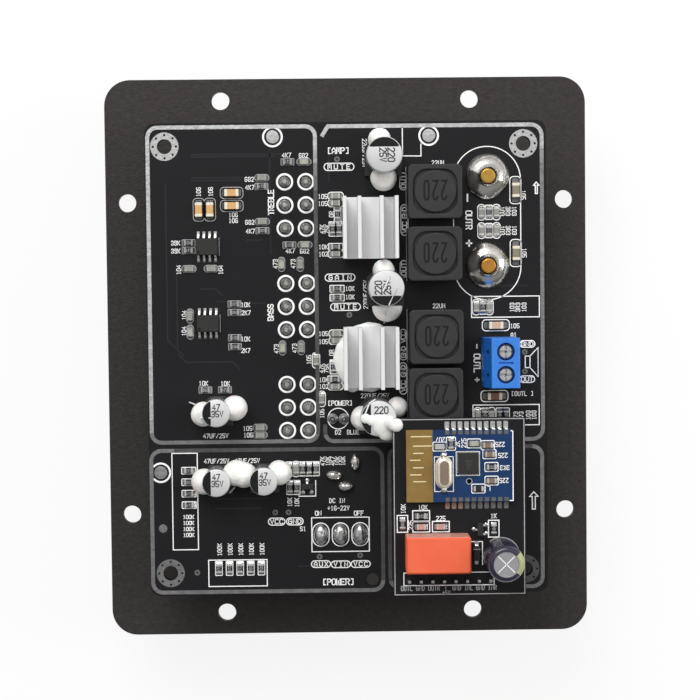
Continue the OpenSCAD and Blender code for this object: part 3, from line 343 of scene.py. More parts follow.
class Shape:
    """Collects faces in millimetres, each with a material, and makes one piece of them."""

    def __init__(self):
        self.paints, self.verts, self.faces, self.ids = [], [], [], []

    def add(self, verts, faces, paint):
        """Faces of one material, or of a list of materials, one per face."""
        base = len(self.verts)
        self.verts += verts
        self.faces += [[base + i for i in f] for f in faces]
        for p in [paint] * len(faces) if isinstance(paint, str) else paint:
            if p not in self.paints:
                self.paints.append(p)
            self.ids.append(self.paints.index(p))

    def make(self, name, body="panel", replaces=(), flat=False):
        mesh = bpy.data.meshes.new(name)
        mesh.from_pydata([Vector(v) * MM for v in self.verts], [], self.faces)
        for p in self.paints:
            mesh.materials.append(M[p])
        mesh.polygons.foreach_set("material_index", self.ids)
        if not flat:
            work = bmesh.new()
            work.from_mesh(mesh)
            bmesh.ops.recalc_face_normals(work, faces=work.faces)
            work.to_mesh(mesh)
            work.free()
            mesh.polygons.foreach_set("use_smooth", [True] * len(mesh.polygons))
            mesh.set_sharp_from_angle(angle=SHARP_ANGLE)
        mesh.update()
        obj = bpy.data.objects.new(name, mesh)
        bpy.context.scene.collection.objects.link(obj)
        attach(obj, body)
        if replaces:
            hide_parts(*replaces)
        return obj

    def band(self, pts, width, z, paint, closed=False, cap=0.0):
        """A flat line along pts with mitred corners; cap lengthens both ends.

        paint is one material, or one per step.
        """
        pts = [Vector(p) for p in pts]
        if cap and not closed:
            pts[0] += (pts[0] - pts[1]).normalized() * cap
            pts[-1] += (pts[-1] - pts[-2]).normalized() * cap
        n = len(pts)
        verts = []
        for i, p in enumerate(pts):
            before = (p - pts[i - 1]).normalized() if i or closed else None
            after = (pts[(i + 1) % n] - p).normalized() if i < n - 1 or closed else None
            before, after = before or after, after or before
            a, b = Vector((-before.y, before.x)), Vector((-after.y, after.x))
            side = (a + b) / max(MITRE_LIMIT, 1 + a.dot(b)) * width / 2
            verts += [(*(p + side), z), (*(p - side), z)]
        ends = [(2 * i, 2 * ((i + 1) % n)) for i in range(n if closed else n - 1)]
        self.add(verts, [[a, a + 1, b + 1, b] for a, b in ends], paint)

    def patch(self, pts, z, paint):
        """A flat filled outline."""
        self.add([(*p, z) for p in pts], [list(range(len(pts)))], paint)

    def block(self, lo, hi, cut, paint):
        """A box whose edges are cut back."""
        verts, index, faces = [], {}, []
        for k in range(8):
            bits = [(k >> i) & 1 for i in range(3)]
            for axis in range(3):
                index[k, axis] = len(verts)
                verts.append(tuple((lo, hi)[bits[i]][i] + (0 if i == axis else cut * (1 - 2 * bits[i]))
                                   for i in range(3)))
            faces.append([index[k, axis] for axis in range(3)])
        for axis in range(3):
            u, v, along = (axis + 1) % 3, (axis + 2) % 3, 1 << axis
            corners = (0, 1 << u, 1 << u | 1 << v, 1 << v)
            for side in (0, along):
                faces.append([index[side | c, axis] for c in corners])
            for c in corners:
                faces.append([index[c, u], index[c | along, u], index[c | along, v], index[c, v]])
        self.add(verts, faces, paint)

    def lathe(self, at, z, profile, paints, n=40, ratio=(1, 1), wobble=0.0, freq=0.8):
        """A body of revolution from (radius, height) points; wobble makes it uneven like solder.

        paints is one material, or one per step of the profile, or a rule from (step, angle) to one.
        """
        rows, verts, faces, skins = [], [], [], []
        for r, h in profile:
            row = []
            for i in range(n if r else 1):
                a = 2 * math.pi * i / n
                x, y = r * ratio[0] * math.cos(a), r * ratio[1] * math.sin(a)
                k = 1 + wobble * noise.noise(Vector((at[0] + x, at[1] + y, 3 * h)) * freq)
                row.append(len(verts))
                verts.append((at[0] + x * k, at[1] + y * k, z + h * (k if h > 0 else 1)))
            rows.append(row)
        for s, (a, b) in enumerate(zip(rows, rows[1:])):
            for i in range(n):
                ring = [a[i % len(a)], a[(i + 1) % len(a)], b[(i + 1) % len(b)], b[i % len(b)]]
                faces.append(list(dict.fromkeys(ring)))
                if callable(paints):
                    skins.append(paints(s, 360 * (i + 0.5) / n))
                else:
                    skins.append(paints if isinstance(paints, str) else paints[s])
        self.add(verts, faces, skins)

    def loft(self, rings, paints):
        """A skin over outlines of equal length, each at its own height, closed on top."""
        n = len(rings[0][0])
        verts = [(*p, z) for outline, z in rings for p in outline]
        quads = [[i, (i + 1) % n, n + (i + 1) % n, n + i] for i in range(n)]
        for s, paint in enumerate(paints[:-1]):
            self.add(verts[s * n:(s + 2) * n], quads, paint)
        self.add(verts[-n:], [list(range(n))], paints[-1])

    def tube(self, pts, section, paint, capped=False):
        """A skin along pts; section gives the outline's offsets for a direction."""
        pts = [Vector(p) for p in pts]
        verts = []
        for i, p in enumerate(pts):
            way = (pts[min(i + 1, len(pts) - 1)] - pts[max(i - 1, 0)]).normalized()
            offsets = section(way)
            verts += [tuple(p + off) for off in offsets]
        n = len(offsets)
        last = len(verts) - n
        faces = [list(range(n)), list(range(last, last + n))] if capped else []
        for i in range(0, last, n):
            faces += [[i + k, i + (k + 1) % n, i + n + (k + 1) % n, i + n + k] for k in range(n)]
        self.add(verts, faces, paint)

    def sweep(self, pts, width, thick, across, paint):
        """A flat strip bent along pts, as a chip's leg is; across is its width's direction."""
        side = Vector(across) * width / 2

        def section(way):
            up = way.cross(side).normalized() * thick / 2
            return [side + up, up - side, -side - up, side - up]

        self.tube(pts, section, paint, capped=True)

    def thread(self, pts, r, paint, n=6):
        """A thin round string along pts."""
        def section(way):
            side = way.orthogonal().normalized() * r
            return [Quaternion(way, 2 * math.pi * k / n) @ side for k in range(n)]

        self.tube(pts, section, paint)


def polar(at, r, angle):
    a = math.radians(angle)
    return at[X] + r * math.cos(a), at[Y] + r * math.sin(a)


def arc(at, r, a0=0.0, a1=360.0, n=32):
    return [polar(at, r, a0 + (a1 - a0) * i / n) for i in range(n + 1)]


def circle(at, r, n=32):
    return arc(at, r, n=n)[:-1]


def round_rect(at, w, h, r, n=5):
    pts = []
    for sx, sy, a in ((1, 1, 0), (-1, 1, 90), (-1, -1, 180), (1, -1, 270)):
        pts += arc((at[0] + sx * (w / 2 - r), at[1] + sy * (h / 2 - r)), r, a, a + 90, n)
    return pts


# A pill's corners, just under half its width so that no two points meet
PILL_CORNER = 0.499


def pill(at, w, h):
    return round_rect(at, w, h, PILL_CORNER * min(w, h), 7)


def box_line(at, w, h):
    return [(at[0] + sx * w / 2, at[1] + sy * h / 2) for sx, sy in ((1, 1), (-1, 1), (-1, -1), (1, -1))]


# Plain stroke letters on a grid: pairs of digits are points, spaces part the strokes
GRID_W, GRID_H = 4, 6
GLYPHS = {
    "0": "103041453616050110", "1": "152620 1030", "2": "05163645440040", "3": "0516364544334241301001 1333",
    "4": "30360242", "5": "460603334241301001", "6": "4536160501103041423303", "7": "064610",
    "8": "13040516364544331302011030414233", "9": "0110304145361605041343", "A": "0004264440 0242",
    "B": "00063645443303 3342413000", "C": "4536160501103041", "D": "00062644422000", "E": "46060040 0333",
    "F": "460600 0333", "G": "45361605011030414323", "H": "0006 4046 0343", "I": "1030 1636 2026",
    "K": "0006 4602 1340", "L": "060040", "M": "00064640 2622", "N": "00064046", "O": "103041453616050110",
    "P": "00063645443303", "R": "00063645443303 2340", "S": "453616050413334241301001", "T": "0646 2620",
    "U": "060110304146", "V": "062046", "W": "06004046 2024", "X": "0046 0640", "+": "0343 2125",
    "-": "0343", "/": "0046", "[": "36161030", "]": "16363010",
}


STROKE_CAP = 0.4


def turned(at, u, v, turn):
    """The place that is u along and v up from another, in directions turned by an angle."""
    c, s = math.cos(math.radians(turn)), math.sin(math.radians(turn))
    return at[X] + u * c - v * s, at[Y] + u * s + v * c


def write(shape, words, at, z, h=0.94, turn=0, paint="silk", weight=0.155, narrow=0.13, pitch=0.77):
    """Lettering of height h, centred on a place; weight, narrow and pitch are shares of the height."""
    width = (len(words) - 1) * pitch * h + GRID_W * narrow * h
    for k, letter in enumerate(words):
        for stroke in GLYPHS.get(letter, "").split():
            pts = []
            for i in range(0, len(stroke), 2):
                u = int(stroke[i]) * narrow * h + k * pitch * h - width / 2
                v = (int(stroke[i + 1]) / GRID_H - 0.5) * h
                pts.append(turned(at, u, v, turn))
            closed = pts[0] == pts[-1]
            shape.band(pts[:-1] if closed else pts, weight * h, z, paint, closed, STROKE_CAP * weight * h)


def islands(node):
    """The boxes (low, high) in millimetres of a node's separate solids.

    Vertices at one place, in whole micrometres, are taken as one.
    """
    mesh = nodes[node].data
    owner, key = {}, []
    for v in mesh.vertices:
        key.append(tuple(round(c * 1e6) for c in v.co))
        owner.setdefault(key[-1], key[-1])

    def root(k):
        while owner[k] != k:
            owner[k] = owner[owner[k]]
            k = owner[k]
        return k

    for p in mesh.polygons:
        first = root(key[p.vertices[0]])
        for i in p.vertices[1:]:
            owner[root(key[i])] = first
    found = {}
    for k in owner:
        lo, hi = found.setdefault(root(k), ([1e9] * 3, [-1e9] * 3))
        for i in range(3):
            lo[i], hi[i] = min(lo[i], k[i] / 1000), max(hi[i], k[i] / 1000)
    return sorted(found.values())


def middle(box):
    return [(a + b) / 2 for a, b in zip(*box)]


def size(box):
    return [b - a for a, b in zip(*box)]


def in_mm(box):
    return [Vector(v) / MM for v in box]


def dice(*place):
    """Random numbers that depend on a place only."""
    return random.Random("|".join(f"{p:.2f}" for p in place))


# Places on the boards, as in the part's source
BOARD_AT, HOLE_OFF = (-0.5, 0.3), (40.2, 48.05)
HOLES = [(BOARD_AT[X] + sx * HOLE_OFF[X], BOARD_AT[Y] + sy * HOLE_OFF[Y])
         for sx in (-1, 1) for sy in (-1, 1)]
CARRIER_AT, CARRIER_SIZE = (23.8, -31.7), (29.0, 39.0)
POT_Y = {"treble": 35.05, "bass": 12.3, "volume": -10.45}
POT_ROWS, POT_PITCH, SWITCH_AT, LUG_PITCH = (-13.9, -9.15), 5.2, (-2.2, -39.4), 4.45
POT_PINS = [(x, y + i * POT_PITCH) for y in POT_Y.values() for x in POT_ROWS for i in (-1, 0, 1)]
SWITCH_LUGS = [(SWITCH_AT[X] + i * LUG_PITCH, SWITCH_AT[Y]) for i in (-1, 0, 1)]
POSTS = [(31.5, 41.0), (31.5, 21.0)]
LED_AT, LED_PITCH = (-2.45, -13.1), 2.54
LED_PINS = [(LED_AT[X] + side * LED_PITCH / 2, LED_AT[Y]) for side in (-1, 1)]
WIRE_PADS = [(-16.5, 50.3), (18.5, 50.3), (-42.6, -24.9)]
VIAS = [(-2.1, 45.2), (0.3, 10.3), (-16.9, -34.2), (-13.9, -34.2), (-34.7, -47.7), (-7.0, -44.4),
        (2.2, -44.2), (39.8, 1.5), (39.8, -2.9)]
# The tone zone lies left of and above these
TONE_RIGHT, TONE_FOOT = -8.2, -18


def in_tone_zone(x, y):
    return x < TONE_RIGHT and y > TONE_FOOT


def on_carrier(box):
    return box[0][Z] > CARRIER - 1


# Tinned strips round the zones (middle, width, height), rings of the board's holes, pads and vias

ZONES = [((-25.75, 17.25), 37.5, 70.7), ((-18.65, -36.05), 52.1, 32.2), ((26.3, -35.8), 34.6, 31.9)]
ZONE_CORNER, STRIP_WIDTH, STRIP_STEP = 2.2, 0.88, 3
# The amplifier zone's open strip: both ends, and its bends as middle, radius and first angle
AMP_START, AMP_END = [(-5.5, 50.3), (-4.1, 52.55)], [(-5.4, -14.4)]
AMP_BENDS = [((41.45, 50.15), 2.4, 90), ((41.45, -15.8), 2.4, 0), ((-3.4, -16.2), 2.0, 270)]
RING_R, RING_WIDTH, DOT_RING_R, DOTS, DOT_R = 2.42, 1.5, 2.6, 8, 0.27
WIRE_PAD = [(1.5, 0), (1.42, 0.09), (0.9, 0.12), (0, 0.13)]
TEST_PAD_AT, TEST_PAD = (-42.3, -37.6), [(1.0, 0), (0.9, 0.1), (0, 0.14)]
FLUX_AT, FLUX_R = (5.0, -49.7), 1.35
VIA_R, VIA_HOLE_R, PIN_PAD_R = 0.66, 0.22, 1.15
# Where the strips' painted highlight begins going up, and over what length: near the top, and on the tone
# zone's left
TOP_FADE, LEFT_FADE, LEFT_X = (36, 14), (-20, 8), -42
# The half-strength painted highlight of the board's outer edge and of the strip under the tone zone
EDGE_PAINTED_SHINE, EDGE_X, EDGE_Y, TONE_STRIP = 0.45, 41, -50, (-19, -16.5)


def painted_strip_tone(x, y):
    """Tinned strips get a painted highlight along the top edge and on the tone zone's left, and fade to
    painted shade elsewhere.
    """
    top = (y - TOP_FADE[0]) / TOP_FADE[1]
    left = (y - LEFT_FADE[0]) / LEFT_FADE[1] if x < LEFT_X else 0
    outer = abs(x) > EDGE_X or TONE_STRIP[0] < y < TONE_STRIP[1] or y < EDGE_Y
    painted_shine = min(1, max(top, left, EDGE_PAINTED_SHINE if outer else 0))
    return STRIPS[round(painted_shine * (len(STRIPS) - 1))]


def strip(s, pts, closed):
    """A strip cut into short steps, each painted with the highlight or shade of its place."""
    ends = pts + pts[:1] if closed else pts
    short = []
    for a, b in zip(ends, ends[1:]):
        n = max(1, round(math.dist(a, b) / STRIP_STEP))
        short += [tuple(p + (q - p) * k / n for p, q in zip(a, b)) for k in range(n)]
    short += [] if closed else pts[-1:]
    after = short[1:] + short[:1] if closed else short[1:]
    tones = [painted_strip_tone((a[X] + b[X]) / 2, (a[Y] + b[Y]) / 2) for a, b in zip(short, after)]
    s.band(short, STRIP_WIDTH, BOARD + FOIL, tones, closed)


def copper():
    s = Shape()
    z = BOARD + FOIL
    for at, w, h in ZONES:
        strip(s, round_rect(at, w, h, ZONE_CORNER), True)
    bends = [p for at, r, a in AMP_BENDS for p in arc(at, r, a, a - 90, 6)]
    strip(s, AMP_START + bends + AMP_END, False)
    # Upper hole rings take the bright pad look and lower ones darker tinned greys: painted highlight and
    # painted shade
    for hole in HOLES:
        tone = "pad" if hole[Y] > 0 else STRIPS[2] if hole[X] < 0 else STRIPS[0]
        s.band(circle(hole, RING_R), RING_WIDTH, z, tone, True)
        for at in circle(hole, DOT_RING_R, DOTS):
            s.patch(circle(at, DOT_R, 10), z + LAYER, "ink")
    # The upper wire pads are bright and the lower one a darker grey: painted highlight and painted shade
    for at in WIRE_PADS:
        s.lathe(at, BOARD, WIRE_PAD, "pad" if at[Y] > 0 else STRIPS[3], 28, wobble=0.06)
    s.lathe(TEST_PAD_AT, BOARD, TEST_PAD, STRIPS[2], 24, wobble=0.06)
    s.patch(circle(FLUX_AT, FLUX_R), z, "flux")
    for at in VIAS:
        s.patch(circle(at, VIA_R, 18), z, "dull")
        s.patch(circle(at, VIA_HOLE_R, 10), z + LAYER, "ink")
    for at in POT_PINS + LED_PINS:
        s.patch(circle(at, PIN_PAD_R), z - 2 * LAYER, "dull")
    s.make("board_copper", flat=True)


# Copper under the black mask

TRACES = [
    [(-34.8, 46.5), (-14.6, 46.5), (-13.4, 45.4)], [(-34.8, 46.0), (-16.0, 46.0)],
    [(-34.9, 41.3), (-23.5, 41.3)], [(-34.9, 40.7), (-23.5, 40.7)], [(-22.7, 27.3), (-19.1, 27.3)],
    [(-33.2, 16.4), (-29.6, 16.4), (-28.0, 14.8)], [(-29.6, 13.6), (-26.5, 13.6)],
    [(-38.4, 1.9), (-36.5, 0), (-26.0, 0), (-24.4, -1.7)], [(-21.6, 13.1), (-18.0, 13.1)],
    [(-38.4, 22.4), (-38.4, 3.0)], [(-40.6, 40.0), (-40.6, 5.0), (-37.0, 1.4)],
    [(-17.2, 47.5), (-17.2, 24.0)], [(-4.0, 48.0), (-4.0, 40.0)], [(29.4, 16.5), (40.4, 16.5)],
    [(-30.5, -31.0), (-18.0, -31.0)], [(-30.5, -33.2), (-20.0, -33.2)], [(-12.0, -46.5), (-6.0, -46.5)],
]
TRACE_WIDTH, TRACE_RISE = 0.32, 0.012


def traces():
    s = Shape()
    for run in TRACES:
        s.band(run, TRACE_WIDTH, BOARD + TRACE_RISE, "trace")
    s.make("covered_traces", flat=True)


# White printing on the main board: words by place, upright and then turned

UPRIGHT = {
    "682": [(-21.8, 40.9), (-21.8, 31.3), (-9.6, 46.1), (-9.6, 24.7)],
    "4K7": [(-21.7, 39.1), (-21.7, 29.3), (-13.4, 46.2), (-12.8, 24.8)],
    "106": [(-25.5, 33.0), (-25.5, 31.7)],
    "39K": [(-38.5, 26.8), (-38.5, 25.0)],
    "10K": [(-23.0, 12.8), (-23.1, 5.1), (-32.7, -4.8), (-27.8, -4.9), (-5.4, 25.6), (0.5, 16.2),
            (0.5, 14.3), (-5.6, -4.3)],
    "2K7": [(-22.9, 11.0), (-23.1, 2.5)],
    "105": [(-22.9, -15.1), (-22.8, -16.6), (-5.4, 36.9), (-5.4, 35.3), (-5.6, 6.1), (-5.6, 4.3),
            (37.6, 7.4)],
    "102": [(-5.4, 24.0), (-5.6, -5.8)],
    "47UF/25V": [(-30.1, -16.7), (-30.0, -22.4), (-23.1, -22.4)],
    "220UF/25V": [(5.9, -8.0)],
    "D2": [(-2.5, -16.2)], "BLUE": [(0.9, -16.2)], "A1": [(37.3, 5.4)], "[OUTL ]": [(39.2, -7.9)],
    "DC IN": [(-2.9, -31.7)], "+16-22V": [(-2.6, -33.4)],
    "S1": [(-10.7, -38.0)], "22UH": [(20.5, 44.2), (20.5, 12.1)],
}
LEFT_TURNED = {
    "106": [(-33.2, 38.2), (-30.5, 38.2)],
    "104": [(-37.9, 20.8), (-28.5, 20.7), (-36.8, 10.6), (-36.9, 7.0)],
    "473": [(-16.2, 21.9), (-12.2, 21.9), (-16.2, 2.8), (-12.1, 2.9), (37.7, -13.0), (38.9, -13.0)],
    "105": [(-8.9, 0.3), (-6.1, -11.9)],
    "0R": [(-3.5, 32.9), (-3.8, 1.8)],
    "47K": [(-5.6, 29.6), (-6.1, -1.7), (-6.1, -22.7)],
    "75K": [(-4.5, 29.6), (-5.0, -1.7)],
    "10K": [(-4.9, -22.7), (-2.7, -22.7), (-1.5, -22.7), (-13.6, -31.9), (-12.0, -32.0)],
    "4K7": [(-3.8, -22.7)],
    "103": [(37.0, 11.6), (39.7, 11.6), (40.5, -12.8), (41.8, -12.8)],
    "3R3": [(38.3, 11.6)],
    "220UF/25V": [(4.0, 14.8)],
    "100K": [(-29.6 + 2.4 * i, -42.5) for i in range(5)],
}
RIGHT_TURNED = {
    "103": [(x, y) for x in (34.9, 37.6) for y in (33.2, 28.9)],
    "3R3": [(36.2, 33.2), (36.2, 28.9)],
    "105": [(39.7, 36.8), (39.8, 23.8)],
    "220UF/25V": [(4.1, 46.5)],
}
# Larger words: text, place, height, turn
TITLES = [
    ("[AMP]", (-1.8, 47.1), 1.25, 0), ("[POWER]", (-2.0, -9.6), 1.0, 0), ("[POWER]", (-2.8, -50.2), 1.3, 0),
    ("TREBLE", (-17.0, 35.7), 1.2, 90), ("BASS", (-17.4, 11.0), 1.2, 90), ("OUTR", (27.4, 31.3), 1.35, -90),
    ("- OUTL +", (29.0, -0.9), 1.35, -90), ("+", (27.4, 26.1), 1.9, 0),
    ("ON", (-7.2, -34.5), 0.95, 0), ("OFF", (2.0, -34.6), 0.95, 0),
] + [("100K", (-36.5, -35.0 - 1.37 * i), 0.8, 0) for i in range(4)]
# Framed words: text, middle, width, height, turn
PLATES = [
    ("MUTE", (-1.67, 43.5), 6.7, 1.6, 0), ("GAIN", (-1.69, 18.7), 6.7, 1.6, 0),
    ("MUTE", (-0.52, 12.1), 6.7, 1.6, 0), ("VCC", (-16.6, -36.3), 3.75, 1.6, 0),
    ("GND", (-12.5, -36.3), 3.75, 1.6, 0), ("AUX", (-6.7, -46.1), 4.3, 1.5, 0),
    ("VIN", (-2.2, -46.2), 4.3, 1.5, 0), ("VCC", (2.3, -46.2), 4.3, 1.5, 0),
    ("OUT", (12.7, 40.1), 3.8, 1.6, 90), ("VCC GND", (12.9, 31.45), 6.9, 1.6, 90),
    ("OUT", (12.65, 20.5), 3.75, 1.6, 90), ("GND VCC", (12.4, 3.45), 6.9, 1.6, 90),
    ("VCC GND", (12.3, -4.2), 7.1, 1.6, 90), ("GND", (40.4, 3.3), 3.4, 1.5, 0),
    ("OUT", (40.3, -4.65), 3.4, 1.5, 0),
]
# Plain frames: middle, width, height
FRAMES = [
    (SWITCH_AT, 13.0, 7.75), ((-37.2, -31.5), 5.7, 21.9), ((-25.5, -47.9), 13.2, 6.0),
    ((35.5, 11.75), 15.3, 4.7), ((35.5, -12.7), 15.0, 4.6),
]
# Arrows: tip and scale
ARROWS = [(42.6, 39.66, 0.58), (41.66, -30.2, 0.9)]
ARROW = [(0, 0), (-1.05, -1.2), (-0.38, -1.2), (-0.38, -4.4), (0.38, -4.4), (0.38, -1.2), (1.05, -1.2)]
ARROW_LINE = 0.24
SPEAKER = [(39.9, 0.56), (40.97, 0.55), (42.8, 2.45), (42.8, -4.13), (40.97, -2.05), (39.9, -2.05)]
LINE, MID_LINE, THIN_LINE, TURNED_LINE = 0.22, 0.2, 0.16, 0.18
# Single lines (points, width, tone): minus sign, first can, speaker's neck, transistor, beside the coils
SINGLE_LINES = [
    ([(27.1, 37.2), (27.1, 35.4)], 0.34, "silk"),
    ([(12.6, 52.0), (12.6, 45.8), (16.75, 45.75), (16.75, 48.5)], LINE, "silk"),
    ([SPEAKER[1], SPEAKER[4]], LINE, "silk"),
    ([(-11.5, -27.0), (-11.5, -30.6), (-7.7, -30.6), (-7.7, -27.0)], MID_LINE, "silk"),
] + [([(13.3, top), (13.3, foot)], THIN_LINE, "faint")
     for top, foot in ((43.3, 31.6), (29.7, 17.8), (11.4, -0.5), (-1.6, -13.2))]
PIN_RING_R, PIN_RING_WIDTH, LED_RING_R, LUG_FRAME = 1.7, 0.46, 2.35, (3.75, 5.3)
WIRE_RING_R, WIRE_RING_WIDTH, WIRE_RING_GAP = 2.1, 0.42, 40
POST_FRAME = dict(at=(31.5, 30.55), w=15.1, h=34.4, r=7.5, n=14)
OP_AMP_LINE_X, OP_AMP_LINE_HALF, OP_AMP_LINE = 2.75, 2.0, 0.12
PLATE_LETTERS, TITLE_STYLE = 0.64, dict(weight=0.19, narrow=0.15, pitch=0.8)


def board_print():
    s = Shape()
    z = BOARD + SILK
    for turn, table in ((0, UPRIGHT), (90, LEFT_TURNED), (-90, RIGHT_TURNED)):
        for words, places in table.items():
            for at in places:
                write(s, words, at, z, turn=turn)
    for words, at, h, turn in TITLES:
        write(s, words, at, z, h, turn, **TITLE_STYLE)
    for words, at, w, h, turn in PLATES:
        line, across = (TURNED_LINE, (h, w)) if turn else (LINE, (w, h))
        s.band(pill(at, *across), line, z, "silk", True)
        tall = PLATE_LETTERS * h
        write(s, words, at, z, tall, turn, weight=0.2, narrow=0.18, pitch=0.84 * w / len(words) / tall)
    for at in POT_PINS:
        s.band(circle(at, PIN_RING_R), PIN_RING_WIDTH, z, "silk", True)
    for at in WIRE_PADS:
        gap = WIRE_RING_GAP if at[Y] < 0 else 0
        s.band(arc(at, WIRE_RING_R, gap - 180, 180 - gap), WIRE_RING_WIDTH, z, "silk")
    outlines = [box_line(*f) for f in FRAMES] + [pill(at, *LUG_FRAME) for at in SWITCH_LUGS]
    for pts in outlines + [circle(LED_AT, LED_RING_R), round_rect(**POST_FRAME), SPEAKER]:
        s.band(pts, LINE, z, "silk", True)
    for x, y, scale in ARROWS:
        s.band([(x + u * scale, y + v * scale) for u, v in ARROW], ARROW_LINE, z, "silk", True)
    for pts, width, tone in SINGLE_LINES:
        s.band(pts, width, z, tone)
    for box in islands("op_amps"):
        x, y, _ = middle(box)
        ends = [(x + OP_AMP_LINE_X, y + side * OP_AMP_LINE_HALF) for side in (1, -1)]
        s.band(ends, OP_AMP_LINE, z, "faint")
    for node, shape in (("chip_resistors", "box"), ("chip_capacitors", "pill")):
        for box in islands(node):
            if not on_carrier(box):
                outline_chip(s, box, z, shape)
    s.make("board_print", flat=True)


# Printed outlines of chips (length, width) by shape, in the tone zone or not; large ones left and right
LARGE_CHIP = 2.6
CHIP_FRAMES = {("pill", True): (3.2, 1.5), ("box", True): (2.9, 1.4), ("pill", False): (3.5, 1.65),
               ("box", False): (3.2, 1.5)}
LARGE_FRAMES, LARGE_PAD, LARGE_PAD_IN = ((5.1, 2.5), (6.1, 2.5)), (0.7, 1.4), 0.75
FRAME_CORNERS = {"box": 0.15, "pill": 0.7, "large": 0.8}


def outline_chip(s, box, z, shape):
    """The printed line round a chip, thin and dim in the tone zone, and the pads of a large one."""
    x, y, _ = middle(box)
    w, h, _ = size(box)
    dim = in_tone_zone(x, y)
    large = max(w, h) > LARGE_CHIP
    along = 1 if w > h else -1
    length, wide = LARGE_FRAMES[x > 0] if large else CHIP_FRAMES[shape, dim]
    corner = FRAME_CORNERS["large" if large else shape]
    line, tone = (THIN_LINE, "faint") if dim else (MID_LINE, "silk")
    s.band(round_rect((x, y), *(length, wide)[::along], corner, 4), line, z, tone, True)
    if large:
        for side in (-1, 1):
            reach = side * (length / 2 - LARGE_PAD_IN)
            at = (x + reach, y) if w > h else (x, y + reach)
            s.patch(round_rect(at, *LARGE_PAD[::along], 0.1, 2), z - LAYER, "dull")


# Chip resistors and ceramic capacitors, with their solder

# An end's share of a chip's length, how much of it the body leaves free, and the cuts along the edges
END_SHARE, BODY_IN, BODY_GAP, BODY_CUT, END_CUT = 0.22, 0.8, 0.03, 0.05, 0.08
# The solder before an end: reach, height as a share of the chip's, and half its width as a share
RAMP, RAMP_FOOT = [(-0.1, 0.75, 0.42), (0.14, 0.35, 0.46), (0.42, 0, 0.5)], 0.03
CHIP_TEXT, CHIP_TEXT_DOWN = dict(h=0.6, paint="faint", weight=0.16), 0.02


def chip(s, box, body, end, digits=None):
    lo, hi = box
    low, h = lo[Z], hi[Z]
    axis, other = (X, Y) if hi[X] - lo[X] > hi[Y] - lo[Y] else (Y, X)
    wide = hi[other] - lo[other]
    cap = END_SHARE * (hi[axis] - lo[axis])
    inset = [BODY_GAP, BODY_GAP, 0]
    inset[axis] = cap * BODY_IN
    s.block([a + b for a, b in zip(lo, inset)], [hi[X] - inset[X], hi[Y] - inset[Y], h - BODY_GAP],
            BODY_CUT, body)
    for side, edge in ((-1, lo[axis]), (1, hi[axis])):
        end_lo, end_hi = lo[:], hi[:]
        end_lo[axis], end_hi[axis] = sorted((edge, edge - side * cap))
        s.block(end_lo, end_hi, END_CUT, end)
        ramp = []
        for along, up, half in RAMP:
            for k in (-1, 1):
                p = [0, 0, low + max(RAMP_FOOT, up * (h - low))]
                p[axis] = edge + side * along
                p[other] = (lo[other] + hi[other]) / 2 + k * half * wide
                ramp.append(tuple(p))
        s.add(ramp, [[0, 1, 3, 2], [2, 3, 5, 4]], "dull" if end == "dim_end" else "solder")
    if digits:
        write(s, digits, middle(box), h - CHIP_TEXT_DOWN, turn=90 * axis, **CHIP_TEXT)


RESISTOR_VALUES = ("103", "472", "393", "272", "104")
# Ceramic capacitors change colour past these places
UPPER_Y, LOWER_Y, RECEIVER_X, RECEIVER_Y = 20, 0, 8, -20


def capacitor_body(x, y, long_side):
    """The colours of a ceramic capacitor's body and ends at a place."""
    if long_side > LARGE_CHIP:
        right = "olive" if y > UPPER_Y else "blush" if y > LOWER_Y else "umber"
        return ("peach" if x < 0 else right), "cream_end"
    if in_tone_zone(x, y):
        return dice(x, y).choice(("celadon", "celadon", "tan")), "dim_end"
    return ("pink" if x > RECEIVER_X and y < RECEIVER_Y else "tan"), "tin_end"


def chips():
    s = Shape()
    for box in islands("chip_resistors"):
        x, y, _ = middle(box)
        value = dice(x, y).choice(RESISTOR_VALUES)
        chip(s, box, "glaze", "dim_end" if in_tone_zone(x, y) else "tin_end", value)
    s.make("chip_resistors_fine", replaces=["chip_resistors"])
    s = Shape()
    for box in islands("chip_capacitors"):
        x, y, _ = middle(box)
        chip(s, box, *capacitor_body(x, y, max(size(box)[:2])))
    s.make("chip_capacitors_fine", replaces=["chip_capacitors"])


# Solder: radii are shares of a joint's own, and so are the heights of undersides and tips

OVAL = [(1, 0), (0.97, 0.35), (0.86, 0.85), (0.66, 1.3), (0.35, 1.62), (0, 1.68)]
UNDERSIDE = [(1, 0), (0.9, -0.4), (0.5, -0.85), (0, -1)]
CONE_FOOT, CONE_TIP = [(0.96, 0.06), (0.86, 0.2), (0.72, 0.45)], [(0.56, 0.8), (0.47, 1.05), (0.42, 1.12)]
HEADER_FOOT, HEADER_TIP = [(0.8, 0.03)], [(0.6, 0.3), (0.42, 0.8)]
# The speaker posts' domes, in millimetres
POST_DOME = [(4.95, 0.03), (4.75, 0.5), (4.4, 1.0), (3.9, 1.5), (3.3, 1.92), (2.7, 2.25), (2.3, 2.5),
             (2.05, 2.8), (1.86, 3.4)]
# A joint this much longer than wide is oval; the lugs' zone ends here; the lamp's joints are this near it
OVAL_FROM, LUG_ZONE, LED_REACH = 1.25, SWITCH_AT[Y] + 5, 2


def scaled(profile, r, h=1):
    return [(k * r, up * h) for k, up in profile]


